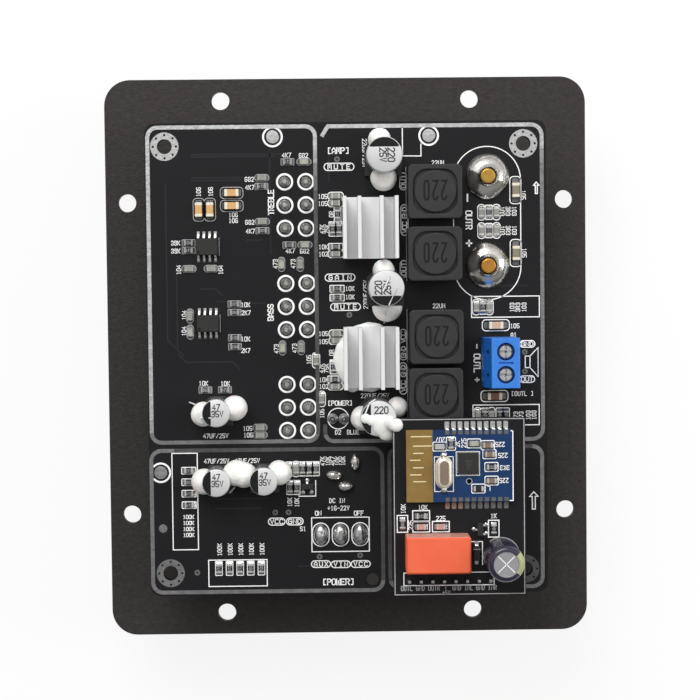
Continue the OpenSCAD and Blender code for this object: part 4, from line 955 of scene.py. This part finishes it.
def solder():
    s = Shape()
    for box in islands("solder_joints"):
        x, y, _ = middle(box)
        w, h, tall = size(box)
        low, r = box[0][Z], max(w, h) / 2
        if max(w, h) > OVAL_FROM * min(w, h):
            paint, rough = ("solder", 0.14) if y < LUG_ZONE else ("dome", 0.07)
            s.lathe((x, y), low, scaled(OVAL, r), paint, 36, (w / 2 / r, h / 2 / r), rough, 0.55)
        # Header joints on the receiver board take the dark flux look, partly as painted shade under the
        # relay
        elif on_carrier(box):
            s.lathe((x, y), low, scaled(HEADER_FOOT, r) + scaled(HEADER_TIP, r, tall), "flux", 20)
        elif low < BOARD - 1:
            s.lathe((x, y), box[1][Z], scaled(UNDERSIDE, r, tall), "solder", 20)
        else:
            paint = "pad" if math.dist((x, y), LED_AT) < LED_REACH else "joint"
            s.lathe((x, y), low, scaled(CONE_FOOT, r) + scaled(CONE_TIP, r, tall), paint, 28, wobble=0.12)
    s.make("solder_joints_fine", replaces=["solder_joints"])
    s = Shape()
    for at in POSTS:
        s.lathe(at, BOARD, POST_DOME, "dome", 72, (1, 1.05), wobble=0.05, freq=0.28)
    s.make("post_solder_fine", replaces=["post_solder"])


# Capacitor cans: words with their offsets, the black mark's direction and half angle, the lettering's turn

SMALL_CAN = dict(words=[("47", (0.05, 1.35)), ("35V", (0.3, -0.15))], tall=1.25, dark=180, turn=0, half=66)
LARGE_CAN = dict(tall=1.45, half=62)
LARGE_CANS = {
    "top": dict(words=[("220", (0.1, 1.5)), ("25V", (0.1, -0.3))], dark=90, turn=-90, **LARGE_CAN),
    "middle": dict(words=[("220", (0.1, 1.8)), ("25V", (0.1, -0.15))], dark=-90, turn=90, **LARGE_CAN),
    "low": dict(words=[("220", (0.6, 1.9))], dark=180, turn=0, **LARGE_CAN),
}
CAN_TEXT, CAN_TEXT_UP, CAN_MARK_UP = dict(paint="ink", weight=0.17, pitch=0.74), 0.015, 0.012
CAN_GAP, BASE_H, BASE_CUT = 0.15, 1.2, 0.22
# A can's radius as a share and its height, from the base up and from the top down, and its flat top's radius
CAN_FOOT, CAN_TOP = [(0.93, 1.2), (0.93, 1.5), (1, 1.9)], [(1, 0.75), (0.985, 0.35), (0.95, 0.1)]
FLAT_TOP, SIDE_STEPS, RIM_STEP, TOP_CAN_Y, MIDDLE_CAN_Y = 0.9, 4, 5, 30, 0


def can(s, box, words, tall, dark, turn, half):
    x, y, _ = middle(box)
    z, w, h = box[0][Z], size(box)[X] / 2, size(box)[Z]
    r, cut = w - CAN_GAP, 2 * w * BASE_CUT
    base = [(-w, -w), (w, -w), (w, w - cut), (w - cut, w), (cut - w, w), (-w, w - cut)]
    n = len(base)
    verts = [(x + u, y + v, z + level) for level in (0, BASE_H) for u, v in base]
    sides = [[i, (i + 1) % n, n + (i + 1) % n, n + i] for i in range(n)]
    s.add(verts, sides + [list(range(n)), list(range(n, 2 * n))], "black")
    profile = scaled(CAN_FOOT, r) + [(k * r, h - down) for k, down in CAN_TOP] + [(FLAT_TOP * r, h), (0, h)]

    def skin(step, angle):
        marked = abs((angle - dark + 180) % 360 - 180) < half
        return "can_side" if step < SIDE_STEPS else "ink" if step == RIM_STEP and marked else "can"

    s.lathe((x, y), z, profile, skin, 72)
    s.patch(arc((x, y), FLAT_TOP * r, dark - half, dark + half, 20), z + h + CAN_MARK_UP, "ink")
    for word, off in words:
        write(s, word, turned((x, y), *off, turn), z + h + CAN_TEXT_UP, tall, turn, **CAN_TEXT)


def cans():
    s = Shape()
    for box in islands("small_capacitors"):
        can(s, box, **SMALL_CAN)
    for box in islands("large_capacitors"):
        y = middle(box)[Y]
        can(s, box, **LARGE_CANS["top" if y > TOP_CAN_Y else "middle" if y > MIDDLE_CAN_Y else "low"])
    s.make("capacitor_cans", replaces=["large_capacitors", "small_capacitors"])


# The sleeved capacitor's radius as a share and its height, from the foot up and from the top down
SLEEVE_FOOT = [(0.86, 0), (0.95, 0.25), (1, 0.7)]
SLEEVE_TOP = [(1, 1.3), (0.97, 0.7), (0.88, 0.2), (0.78, 0), (0.69, 0), (0.66, 0.2), (0, 0.2)]
STRIPE_HALF, STRIPE_FROM, VENT_FROM = 40, 2, 7
VENT_REACH, VENT_LINE, VENT_DOWN = 0.62, 0.18, 0.19


def sleeved_can():
    s = Shape()
    (box,) = islands("receiver_capacitor")
    x, y, _ = middle(box)
    r, z, h = size(box)[X] / 2, box[0][Z], size(box)[Z]

    def skin(step, angle):
        if step >= VENT_FROM:
            return "vent"
        return "stripe" if min(angle, 360 - angle) < STRIPE_HALF and step >= STRIPE_FROM else "sleeve"

    s.lathe((x, y), z, scaled(SLEEVE_FOOT, r) + [(k * r, h - down) for k, down in SLEEVE_TOP], skin, 72)
    for a in (45, 135):
        ends = [polar((x, y), VENT_REACH * r, a + half_turn) for half_turn in (180, 0)]
        s.band(ends, VENT_LINE, z + h - VENT_DOWN, "silk")
    s.make("receiver_capacitor_fine", replaces=["receiver_capacitor"])


# Chips with legs

# A gull-wing leg's bends, as shares of its reach and of its drop
LEG, LEG_THICK = [(0, 0), (0.22, 0), (0.36, 0.15), (0.5, 0.86), (0.64, 1), (1, 1)], 0.16


def leg(s, start, out, drop, reach, width, across):
    """A leg from a package's side down to its pad; out is its direction."""
    pts = [Vector(start) + Vector(out) * far * reach - Vector((0, 0, down * drop)) for far, down in LEG]
    s.sweep(pts, width, LEG_THICK, across, "tin_end")


# An eight-pin chip: half its body, the height, the pins' pitch, the pads' span, the mark beside pin one
OP_AMP_BODY, OP_AMP_H, PIN_PITCH, PIN_ROW = (2.45, 1.9), 1.5, 1.27, 4
OP_AMP_PADS, PAD_HALF, PAD_H, PIN_MARK, PIN_MARK_R = (2.35, 3.45), 0.32, 0.06, (1.8, 1.25), 0.36
OP_AMP_LEG_Y, OP_AMP_LEG_UP, OP_AMP_FOOT, OP_AMP_CUT = 1.85, 0.8, 0.15, 0.16
OP_AMP_LEG = dict(drop=0.7, reach=1.2, width=0.44, across=(1, 0, 0))


def op_amps():
    s = Shape()
    for box in islands("op_amps"):
        x, y, _ = middle(box)
        z = box[0][Z]
        a, b = OP_AMP_BODY
        s.block((x - a, y - b, z + OP_AMP_FOOT), (x + a, y + b, z + OP_AMP_H), OP_AMP_CUT, "epoxy")
        mark = (x - PIN_MARK[X], y - PIN_MARK[Y])
        s.lathe(mark, z + OP_AMP_H, [(PIN_MARK_R, 0.006), (0, 0.005)], "ink", 16)
        for side in (-1, 1):
            near, far = sorted(y + side * reach for reach in OP_AMP_PADS)
            for i in range(PIN_ROW):
                px = x + (i - (PIN_ROW - 1) / 2) * PIN_PITCH
                leg(s, (px, y + side * OP_AMP_LEG_Y, z + OP_AMP_LEG_UP), (0, side, 0), **OP_AMP_LEG)
                # Pads of the upper row are bright solder and of the lower row dull: painted highlight and
                # painted shade
                s.block((px - PAD_HALF, near, z), (px + PAD_HALF, far, z + PAD_H), 0.02,
                        "solder" if side > 0 else "dull")
    s.make("op_amps_fine", replaces=["op_amps"])


# Half the bodies of the diode and a three-leg package, its legs' sides and offsets, solder at the tips
DIODE_MAX_W, DIODE, DIODE_BAND, DIODE_H = 1.8, (0.75, 1.6), (0.75, 1.15), 1.1
TRIPOD, TRIPOD_H, TRIPOD_LEGS = (0.65, 1.45), 1.0, ((1, -0.95), (1, 0.95), (-1, 0))
DIODE_TIP, TRIPOD_TIP = [(0.6, 0), (0.45, 0.18), (0, 0.24)], [(0.5, 0), (0.35, 0.14), (0, 0.2)]
LEG_UP, LEG_DROP, LEG_REACH = 0.5, 0.42, 0.75
DIODE_LEG_Y, DIODE_TIP_Y, DIODE_LEG, TRIPOD_LEG_X, TRIPOD_LEG = 1.5, 2.1, 0.7, 0.6, 0.42
PACKAGE_CUT, DIODE_FOOT, TRIPOD_FOOT = 0.12, 0.05, 0.08


def transistors():
    """Two three-leg packages, one of them turned, and a banded diode."""
    s = Shape()
    for box in islands("transistors"):
        x, y, _ = middle(box)
        w, h, _ = size(box)
        z = box[0][Z]
        if w < DIODE_MAX_W:
            (a, b), (low, high), skin = DIODE, DIODE_BAND, LAYER
            s.block((x - a, y - b, z + DIODE_FOOT), (x + a, y + b, z + DIODE_H), PACKAGE_CUT, "epoxy")
            s.block((x - a - skin, y + low, z + DIODE_FOOT - skin),
                    (x + a + skin, y + high, z + DIODE_H + skin), PACKAGE_CUT, "faint")
            for side in (-1, 1):
                start = (x, y + side * DIODE_LEG_Y, z + LEG_UP)
                leg(s, start, (0, side, 0), LEG_DROP, LEG_REACH, DIODE_LEG, (1, 0, 0))
                s.lathe((x, y + side * DIODE_TIP_Y), z, DIODE_TIP, "solder", 16)
            continue
        lying = w > h
        a, b = TRIPOD[::-1] if lying else TRIPOD
        s.block((x - a, y - b, z + TRIPOD_FOOT), (x + a, y + b, z + TRIPOD_H), PACKAGE_CUT, "epoxy")
        for out, along in TRIPOD_LEGS:
            start, way, across = (x + out * TRIPOD_LEG_X, y + along), (out, 0, 0), (0, 1, 0)
            if lying:
                start, way, across = (x + along, y - out * TRIPOD_LEG_X), (0, -out, 0), (1, 0, 0)
            leg(s, (*start, z + LEG_UP), way, LEG_DROP, LEG_REACH, TRIPOD_LEG, across)
            tip = (start[X] + way[X] * LEG_REACH, start[Y] + way[Y] * LEG_REACH)
            s.lathe(tip, z, TRIPOD_TIP, "solder", 16)
    s.make("transistors_fine", replaces=["transistors"])


# White sealant: round lumps that join into one soft skin, and strings drawn from them

LUMP = [(0, 0), (0.6, 0), (0.85, 0.25), (1, 0.5), (0.93, 0.72), (0.72, 0.88), (0.4, 0.97), (0, 1)]
FLAT_LUMP = [(0, 0)] + [(math.cos(a), math.sin(a)) for a in (0, 0.3, 0.6, 0.9, 1.2)] + [(0, 1)]
UNEVEN = dict(wobble=0.05, freq=0.5)
# The size of the joined skin's steps and its softening, and the strings' radius
SKIN_VOXEL, SOFT_FACTOR, SOFT_ROUNDS, STRING_R = 0.2, 0.5, 5, 0.16
# Lumps on the main board: place, radius, height
BOARD_LUMPS = [
    (-32.6, -11.5, 2.8, 6.4), (-25.6, -10.2, 2.9, 7), (-32.6, -26.6, 2.95, 6.4), (-25.4, -24.7, 3.0, 7.2),
    (-23.7, -25.2, 2.9, 7), (-15.8, -24.8, 2.85, 7), (7.3, 49.2, 2.6, 7.5), (8.2, 40.7, 2.95, 6.5),
    (8.0, 20.2, 2.5, 8), (3.1, -12.8, 2.85, 6), (10.8, -10.4, 2.35, 6),
]
# A half lump against the foot of the second large can, which stops at a line in Y
HALF_LUMP, HALF_LINE = (8.8, 12.0, 3.45, 3.0), 12.3
# Flat lumps on the third large can, over the receiver board's corner and round the lower heat sink
FLAT_LUMPS = [
    (3.5, -12.3, 25.5, 1.2, 0.6), (4.9, -12.8, 25.5, 1.25, 0.7), (6.2, -13.1, 25.5, 1.6, 0.8),
    (7.4, -14.0, 25.4, 2.5, 1.1), (8.0, -15.3, 25.2, 2.0, 1.1), (8.6, -15.9, 24.8, 1.4, 1.2),
    (8.8, -13.2, 25.4, 1.5, 2.2), (9.3, -13.5, 26.0, 1.5, 2.8), (10.1, -13.6, CARRIER, 1.6, 1.1),
    (3.9, 0.3, BOARD, 7.4, 2.3), (5.0, 3.4, BOARD, 5.3, 2.3), (3.4, 4.0, BOARD, 4.3, 2.2),
    (0.9, -5.6, BOARD, 1.65, 1.8), (5.2, -4.6, BOARD, 2.6, 2.0), (5.3, -2.6, BOARD, 3.9, 2.2),
]
STRINGS = [
    [(7.6, 15.6, 25.8), (9.0, 18.6, 25.9), (9.6, 20.4, 24.0)], [(-27.0, -29.4, 17.2), (-25.8, -28.0, 19.0)],
    [(-20.6, -29.6, 16.6), (-20.9, -28.3, 18.5)], [(-17.0, -29.0, 16.8), (-16.3, -27.2, 19.0)],
    [(10.6, 16.2, 25.75), (8.9, 12.7, 25.7), (8.5, 11.0, 19.0), (8.1, 8.4, 17.0)],
    [(5.7, -8.2, 24.8), (4.4, -8.9, 25.8), (3.3, -11.6, 25.9)], [(-35.9, -9.0, 16.0), (-34.0, -9.5, 18.5)],
    [(-32.9, -12.0, 22.0), (-30.6, -12.0, 23.5)],
]


def sealant():
    s = Shape()
    for x, y, r, h in BOARD_LUMPS:
        s.lathe((x, y), BOARD, scaled(LUMP, r, h), "sealant", 32, **UNEVEN)
    x, y, r, h = HALF_LUMP
    half = Shape()
    half.lathe((x, y), BOARD, scaled(LUMP, r, h), "sealant", 48)
    s.add([(u, min(v, HALF_LINE), w) for u, v, w in half.verts], half.faces, "sealant")
    for x, y, z, r, h in FLAT_LUMPS:
        s.lathe((x, y), z, scaled(FLAT_LUMP, r, h), "sealant", 40, **UNEVEN)
    piece = s.make("sealant_fine", replaces=["sealant_beads"])
    skin = piece.modifiers.new("skin", "REMESH")
    skin.mode = "VOXEL"
    skin.voxel_size = SKIN_VOXEL * MM
    skin.use_smooth_shade = True
    soft = piece.modifiers.new("soft", "SMOOTH")
    soft.factor, soft.iterations = SOFT_FACTOR, SOFT_ROUNDS
    s = Shape()
    for pts in STRINGS:
        s.thread(pts, STRING_R, "sealant")
    s.make("sealant_strings")


# Marks on the coils and knobs, and painted shade on the terminal's screws and wire sides

COIL_TEXT = dict(h=4.1, turn=180, paint="ink", weight=0.1, narrow=0.06, pitch=0.47)
COILS, COIL_TEXT_UP = range(1, 5), 0.2
POINTER_X, POINTER_HALF, POINTER_Z, POINTER_CUT = (-22.6, -15.6), 0.3, (-17.6, -17.3), 0.05
# The screws' painted shade: the dark ring's radius and width, and the slots' reach, width and turns
SCREW_RING_R, SCREW_RING_WIDTH, SLOT_REACH, SLOT_WIDTH, SLOT_TURNS = 1.5, 0.3, 1, 0.4, (8, 98)
# The slanted wire face of the terminal: along it and out of it
FACE_UP, FACE_OUT = Vector((1.4, 0, 4.0)).normalized(), Vector((-4.0, 0, 1.4)).normalized()
# Dimples in that face, drawn as patches of painted shade: pitch, place from the face's edge and the top,
# half axes, rise and number of points
DIMPLE_PITCH, DIMPLE_AT, DIMPLE, DIMPLE_RISE, DIMPLE_POINTS = 5.08, (0.75, 1.86), (0.42, 0.7), 0.04, 20


def coil_marks():
    s = Shape()
    for i in COILS:
        lo, hi = in_mm(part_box(f"inductor_{i}"))
        at = ((lo.x + hi.x) / 2, (lo.y + hi.y) / 2 + COIL_TEXT_UP)
        write(s, "220", at, hi.z + 0.02, **COIL_TEXT)
    s.make("coil_marks", flat=True)


def knob_marks():
    for control, y in POT_Y.items():
        s = Shape()
        ends = [(x, y + side * POINTER_HALF, z) for x, side, z in zip(POINTER_X, (-1, 1), POINTER_Z)]
        s.block(*ends, POINTER_CUT, "silk")
        s.make(f"{control}_pointer", f"{control}_control")


def terminal_marks():
    """Painted shade on the screws' heads, a dark ring at the edge that also stands for the blue well's
    reflection and darker slots, and a dark patch of painted shade for each wire's dimple in the slanted
    face.
    """
    for i in (1, 2):
        lo, hi = in_mm(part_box(f"terminal_screw_{i}"))
        at, top = ((lo.x + hi.x) / 2, (lo.y + hi.y) / 2), hi.z + LAYER
        s = Shape()
        s.band(circle(at, SCREW_RING_R), SCREW_RING_WIDTH, top, "terminal_dark", True)
        for turn in SLOT_TURNS:
            ends = [polar(at, SLOT_REACH, turn + half_turn) for half_turn in (180, 0)]
            s.band(ends, SLOT_WIDTH, top, "vent")
        s.make(f"terminal_screw_edge_{i}", f"terminal_screw_{i}", flat=True)
    s = Shape()
    lo, hi = in_mm(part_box("terminal_block"))
    for side in (-1, 1):
        y = (lo.y + hi.y) / 2 + side * DIMPLE_PITCH / 2
        centre = Vector((lo.x + DIMPLE_AT[0], y, hi.z - DIMPLE_AT[1])) + FACE_OUT * DIMPLE_RISE
        angles = [2 * math.pi * i / DIMPLE_POINTS for i in range(DIMPLE_POINTS)]
        ring = [tuple(centre + Vector((0, DIMPLE[0] * math.cos(a), 0)) + FACE_UP * DIMPLE[1] * math.sin(a))
                for a in angles]
        s.add(ring, [list(range(DIMPLE_POINTS))], "terminal_dark")
    s.make("terminal_dimple_shade", flat=True)


# Receiver board: printing, pads, radio parts and crystal

CARRIER_LABELS = [
    ("10K", 15.8, -31.7, 0), ("225", 19.7, -34.2, 0), ("10K", 11.5, -32.0, 90), ("225", 13.1, -35.6, 90),
    ("1K", 31.3, -33.8, 0),
]
HEADER_LABELS = [
    ("OUTL", 12.1), ("GND", 15.1), ("OUTR", 18.1), ("GND", 23.1), ("INL", 25.7), ("GND", 28.3),
    ("INR", 30.9),
]
MODULE_LABELS = [
    ("207", 19.7, -16.8, 180), ("225", 32.7, -18.0, 180), ("225", 33.3, -20.4, 180),
    ("3K3", 33.7, -23.1, 180), ("225", 33.5, -25.9, 180), ("2K", 23.4, -17.8, 90),
    ("225", 24.8, -17.6, 90), ("L", 30.2, -27.6, 180),
]
# Bare antenna lines: width, then level and both ends of each
ANTENNA_LINE = 0.25
ANTENNA_LINES = [
    (-16.1, 13.2, 17.75), (-18.15, 13.7, 17.8), (-19.75, 13.7, 16.0), (-21.25, 13.0, 15.3),
    (-22.9, 13.7, 16.0), (-24.45, 13.0, 15.5), (-25.95, 13.7, 16.5),
]
# Body, end and marking of the radio module's small parts, by place
RADIO_PARTS = {
    (27.0, -17.7): ("celadon", "dim_end", None), (30.0, -18.1): ("brown", "tin_end", None),
    (30.4, -20.1): ("brown", "tin_end", None), (30.8, -22.9): ("glaze", "tin_end", "332"),
    (30.8, -25.9): ("brown", "tin_end", None), (27.9, -27.6): ("glaze", "tin_end", None),
    (19.5, -18.3): ("tin_end", "tin_end", None), (22.0, -17.7): ("glaze", "tin_end", "202"),
}
TURNED_PART, PART_FRAME = (22.0, -17.7), (2.9, 1.95)
# Pads of the carrier and of the module: pitch, first place, number, and how many of the lower row are brown
PAD_PITCH, PAD_X, PADS, BROWN_PADS = 1.43, 21.2, 10, 3
TOP_PAD_Y, TOP_PAD, LOW_PAD_Y, LOW_PAD = -13.75, (1.0, 1.6, 0.1, 2), -31.4, (1.0, 1.5, 0.3, 3)
MODULE_PAD_Y, MODULE_PAD, PAD_SOLDER_Y = (-15.25, -29.95), (0.95, 0.9, 0.1, 2), -14.7
PAD_SOLDER = [(0.52, 0.05), (0.5, 0.4), (0.4, 0.9), (0, 1.06)]
MODULE_HOLE, MODULE_HOLE_R = (25.9, -26.0), 0.62
HEADER_Y, HEADER_STYLE = -49.55, dict(h=1.0, paint="faint", weight=0.16, narrow=0.11, pitch=0.66)
# Frames on the carrier and on the module (middle, width, height), and lines on both
CARRIER_EDGE, HEADER_FRAME, CARRIER_CHIP = 0.5, ((21.4, -47.55), 19.8, 2.8), (3.7, 2.3)
VOLT_LINE, VOLT_AT = [(20.4, -47.2), (20.7, -49.9)], (20.8, -50.6)
VOLT_TEXT, MODULE_TEXT, PART_CORNER = 0.8, 0.95, 0.25
DIODE_FRAME = [(26.3, -39.4), (28.8, -39.4), (28.8, -44.6)]
# A painted highlight of the sleeved capacitor's bottom edge: the arc's angles and its gap outside the can
SLEEVE_SHEEN_ARC, SLEEVE_SHEEN_GAP = (14, 129), 0.06
RADIO_FRAMES = [((25.65, -22.1), 5.1, 5.2), ((20.4, -24.35), 4.1, 7.6)]
# A light line down the module's right edge, a painted highlight of that board edge
MODULE_EDGE_SHEEN = [(35.0, -15.0), (35.5, -15.1), (35.5, -30.3), (34.7, -30.3)]


def carrier_print(s):
    z = CARRIER + SILK
    edge = box_line(CARRIER_AT, *(side - CARRIER_EDGE for side in CARRIER_SIZE))
    s.band(edge, MID_LINE, z, "faint", True)
    s.band(box_line(*HEADER_FRAME), MID_LINE, z, "silk", True)
    s.band(VOLT_LINE, THIN_LINE, z, "faint")
    write(s, "+5V", VOLT_AT, z, VOLT_TEXT, paint="faint")
    for words, x in HEADER_LABELS:
        write(s, words, (x, HEADER_Y), z, **HEADER_STYLE)
    for words, x, y, turn in CARRIER_LABELS:
        write(s, words, (x, y), z, turn=turn)
    for box in islands("chip_resistors") + islands("chip_capacitors"):
        if on_carrier(box):
            w, h, _ = size(box)
            frame_size = CARRIER_CHIP if w > h else CARRIER_CHIP[::-1]
            s.band(box_line(middle(box), *frame_size), LINE, z, "silk", True)
    s.band(DIODE_FRAME, MID_LINE, z, "silk")
    # A thin light arc just outside the sleeved capacitor's foot, a painted highlight of its sleeve's edge
    (sleeved,) = islands("receiver_capacitor")
    sheen_arc = arc(middle(sleeved), size(sleeved)[X] / 2 + SLEEVE_SHEEN_GAP, *SLEEVE_SHEEN_ARC)
    s.band(sheen_arc, THIN_LINE, z, "faint")
    for i in range(PADS):
        x = PAD_X + PAD_PITCH * i
        s.patch(round_rect((x, TOP_PAD_Y), *TOP_PAD), z, "pad")
        s.patch(round_rect((x, LOW_PAD_Y), *LOW_PAD), z, "brown" if i < BROWN_PADS else STRIPS[1])
        s.lathe((x, PAD_SOLDER_Y), CARRIER, PAD_SOLDER, "solder", 16, (1, 0.9), 0.1)
        for y in MODULE_PAD_Y:
            s.patch(round_rect((x, y), *MODULE_PAD), MODULE + SILK, STRIPS[1])


def module_print(s):
    z = MODULE + SILK
    for words, x, y, turn in MODULE_LABELS:
        write(s, words, (x, y), z, MODULE_TEXT, turn)
    for frame_line in RADIO_FRAMES:
        s.band(box_line(*frame_line), THIN_LINE, z, "silk", True)
    s.band(circle(MODULE_HOLE, MODULE_HOLE_R), THIN_LINE, z, "faint", True)
    # The module's painted edge highlight
    s.band(MODULE_EDGE_SHEEN, LINE, z, "silk")
    for y, x0, x1 in ANTENNA_LINES:
        s.band([(x0, y), (x1, y)], ANTENNA_LINE, z, "antenna_line")
    for at in RADIO_PARTS:
        across = PART_FRAME[::-1] if at == TURNED_PART else PART_FRAME
        s.band(round_rect(at, *across, PART_CORNER, 3), MID_LINE, z, "silk", True)


def receiver_print():
    s = Shape()
    carrier_print(s)
    module_print(s)
    s.make("receiver_print", flat=True)


# The radio chip's lead rows: number, pitch, distance from the middle in X and Y, half a lead and its height
LEADS, LEAD_PITCH, LEAD_ROW, LEAD_HALF, LEAD_H = 12, 0.36, (2.35, 2.45), (0.22, 0.1), 0.07
RADIO_CHIP, MARK_ROWS, MARK_UP, MARK_PITCH, MARK_TALL = 3, 3, 0.5, 0.75, 0.5
# The crystal's can: inset and height, from the foot up and from the top down; solder at both ends
CRYSTAL_FOOT = [(0, 0), (0, 0.3), (0.55, 0.36)]
CRYSTAL_TOP = [(0.62, 0.5), (0.8, 0.15), (1.35, 0.02), (1.75, 0)]
CRYSTAL_SOLDER, CRYSTAL_SOLDER_OUT = [(0.8, 0), (0.75, 0.4), (0.5, 0.8), (0, 0.95)], 0.2


def radio_chip(s, box):
    x, y, _ = middle(box)
    s.block(*box, 0.12, "epoxy")
    for row in range(MARK_ROWS):
        at = (x, y + MARK_UP - MARK_PITCH * row)
        write(s, "0" * (MARK_ROWS + 1 - row), at, box[1][Z] + 0.006, MARK_TALL, paint="marking")
    long_half, half = LEAD_HALF
    for i in range(LEADS):
        off = (i - (LEADS - 1) / 2) * LEAD_PITCH
        for side in (-1, 1):
            for px, py, a, b in ((x + off, y + side * LEAD_ROW[Y], half, long_half),
                                 (x + side * LEAD_ROW[X], y + off, long_half, half)):
                s.block((px - a, py - b, MODULE), (px + a, py + b, MODULE + LEAD_H), 0.02, "tin_end")


def radio_parts():
    s = Shape()
    for box in islands("radio_chips"):
        if size(box)[X] > RADIO_CHIP:
            radio_chip(s, box)
        else:
            place = min(RADIO_PARTS, key=lambda p: math.dist(p, middle(box)[:2]))
            chip(s, box, *RADIO_PARTS[place])
    s.make("radio_chips_fine", replaces=["radio_chips"])
    s = Shape()
    (box,) = islands("radio_crystal")
    x, y, _ = middle(box)
    w, h, tall = size(box)
    z = box[0][Z]
    steps = CRYSTAL_FOOT + [(inset, tall - down) for inset, down in CRYSTAL_TOP]
    rings = [(pill((x, y), w - inset, h - inset), z + up) for inset, up in steps]
    s.loft(rings, ["crystal"] * (len(steps) - 1) + ["crystal_top"])
    for side in (-1, 1):
        at = (x, y + side * (h / 2 + CRYSTAL_SOLDER_OUT))
        s.lathe(at, z, CRYSTAL_SOLDER, "dome", 20, wobble=0.15)
    s.make("radio_crystal_fine", replaces=["radio_crystal"])


for step in (copper, traces, board_print, chips, solder, cans, sleeved_can, op_amps, transistors, sealant,
             coil_marks, knob_marks, terminal_marks, receiver_print, radio_parts):
    step()


# Floor, light and camera

PAPER, GLOW_SHARE, FLOOR_GAP, FLOOR_SIZE = (0.86, 0.86, 0.86, 1), 0.85, 0.0005, 6


def floor_look():
    """White paper that keeps a shadow; it is clear from below, and to light from below."""
    mat = bpy.data.materials.new("paper")
    mat.use_nodes = True
    t = mat.node_tree
    t.nodes.remove(t.nodes["Principled BSDF"])
    paper, glow, clear, path, side = [t.nodes.new("ShaderNode" + kind) for kind in (
        "BsdfDiffuse", "Emission", "BsdfTransparent", "LightPath", "NewGeometry")]
    paper.inputs["Color"].default_value = PAPER

    def blend(factor, a, b):
        mix = t.nodes.new("ShaderNodeMixShader")
        for slot, socket in zip(mix.inputs, (factor, a, b)):
            t.links.new(socket, slot)
        return mix.outputs[0]

    seen = path.outputs["Is Camera Ray"]
    for ray in ("Is Glossy Ray", "Is Transmission Ray"):
        seen = maths(t, "MAXIMUM", seen, path.outputs[ray])
    white = blend(maths(t, "MULTIPLY", seen, GLOW_SHARE), paper.outputs[0], glow.outputs[0])
    through = maths(t, "MAXIMUM", side.outputs["Backfacing"], path.outputs["Is Shadow Ray"])
    t.links.new(blend(through, white, clear.outputs[0]), t.nodes["Material Output"].inputs["Surface"])
    return mat


def floor():
    level = cad_box[0][Z] - FLOOR_GAP
    mesh = bpy.data.meshes.new("floor")
    mesh.from_pydata([(*p, level) for p in box_line((0, 0), FLOOR_SIZE, FLOOR_SIZE)], [], [[0, 1, 2, 3]])
    mesh.materials.append(floor_look())
    sheet = bpy.data.objects.new("floor", mesh)
    bpy.context.scene.collection.objects.link(sheet)


def softbox(name, at, wide, power):
    data = bpy.data.lights.new(name, "AREA")
    data.shape = "RECTANGLE"
    data.size, data.size_y = wide
    data.energy = power
    light = bpy.data.objects.new(name, data)
    light.location = at
    light.rotation_euler = (-Vector(at)).to_track_quat("-Z", "Y").to_euler()
    bpy.context.scene.collection.objects.link(light)


# How the room's light fades along an axis: from, to, and the strength at either end
SKY_FADES = {"Y": (-0.22, 0.2, 0.25, 0.9), "Z": (0.0, 0.6, 0.3, 1.0)}


def sky():
    """A room that is bright overhead and behind the part, dim in front and near the floor."""
    world = bpy.data.worlds.new("studio")
    world.use_nodes = True
    bpy.context.scene.world = world
    t = world.node_tree
    where = t.nodes.new("ShaderNodeTexCoord")
    split = t.nodes.new("ShaderNodeSeparateXYZ")
    t.links.new(where.outputs["Generated"], split.inputs[0])
    strength = 1
    for axis, values in SKY_FADES.items():
        fade = t.nodes.new("ShaderNodeMapRange")
        fade.interpolation_type = "SMOOTHSTEP"
        for socket, value in zip(("From Min", "From Max", "To Min", "To Max"), values):
            fade.inputs[socket].default_value = value
        t.links.new(split.outputs[axis], fade.inputs["Value"])
        strength = maths(t, "MULTIPLY", strength, fade.outputs[0])
    t.links.new(strength, t.nodes["Background"].inputs["Strength"])
    t.nodes["Background"].inputs["Color"].default_value = (1, 1, 1, 1)


# The photo's viewpoint: its turn as a rotation vector, its place, its lens and the film's width
CAMERA_TURN, CAMERA_AT = Vector((3.1865, -0.0170, 0.0221)), Vector((-4.843, 19.630, 398.175))
CAMERA_LENS, CAMERA_FILM, CAMERA_NEAR = 87.43, 36, 0.01


def camera():
    data = bpy.data.cameras.new("camera")
    data.lens, data.sensor_width, data.clip_start = CAMERA_LENS, CAMERA_FILM, CAMERA_NEAR
    view = bpy.data.objects.new("camera", data)
    turn = Quaternion(CAMERA_TURN.normalized(), CAMERA_TURN.length).to_matrix().transposed()
    # The photo's axes point down and ahead, a Blender camera's point up and back
    look_back = turn @ Matrix.Diagonal((1, -1, -1))
    view.matrix_world = Matrix.Translation(CAMERA_AT * MM) @ look_back.to_4x4()
    bpy.context.scene.collection.objects.link(view)
    bpy.context.scene.camera = view
    bpy.context.scene.view_settings.view_transform = "Standard"


# Softboxes: name, place, sides and power
LIGHTS = [
    ("key", (-0.25, 0.75, 0.75), (0.7, 0.5), 9), ("right", (0.8, 0.1, 0.5), (0.4, 0.5), 3),
    ("below", (0.3, -0.5, -0.7), (0.6, 0.6), 7),
]
floor()
for light in LIGHTS:
    softbox(*light)
sky()
camera()
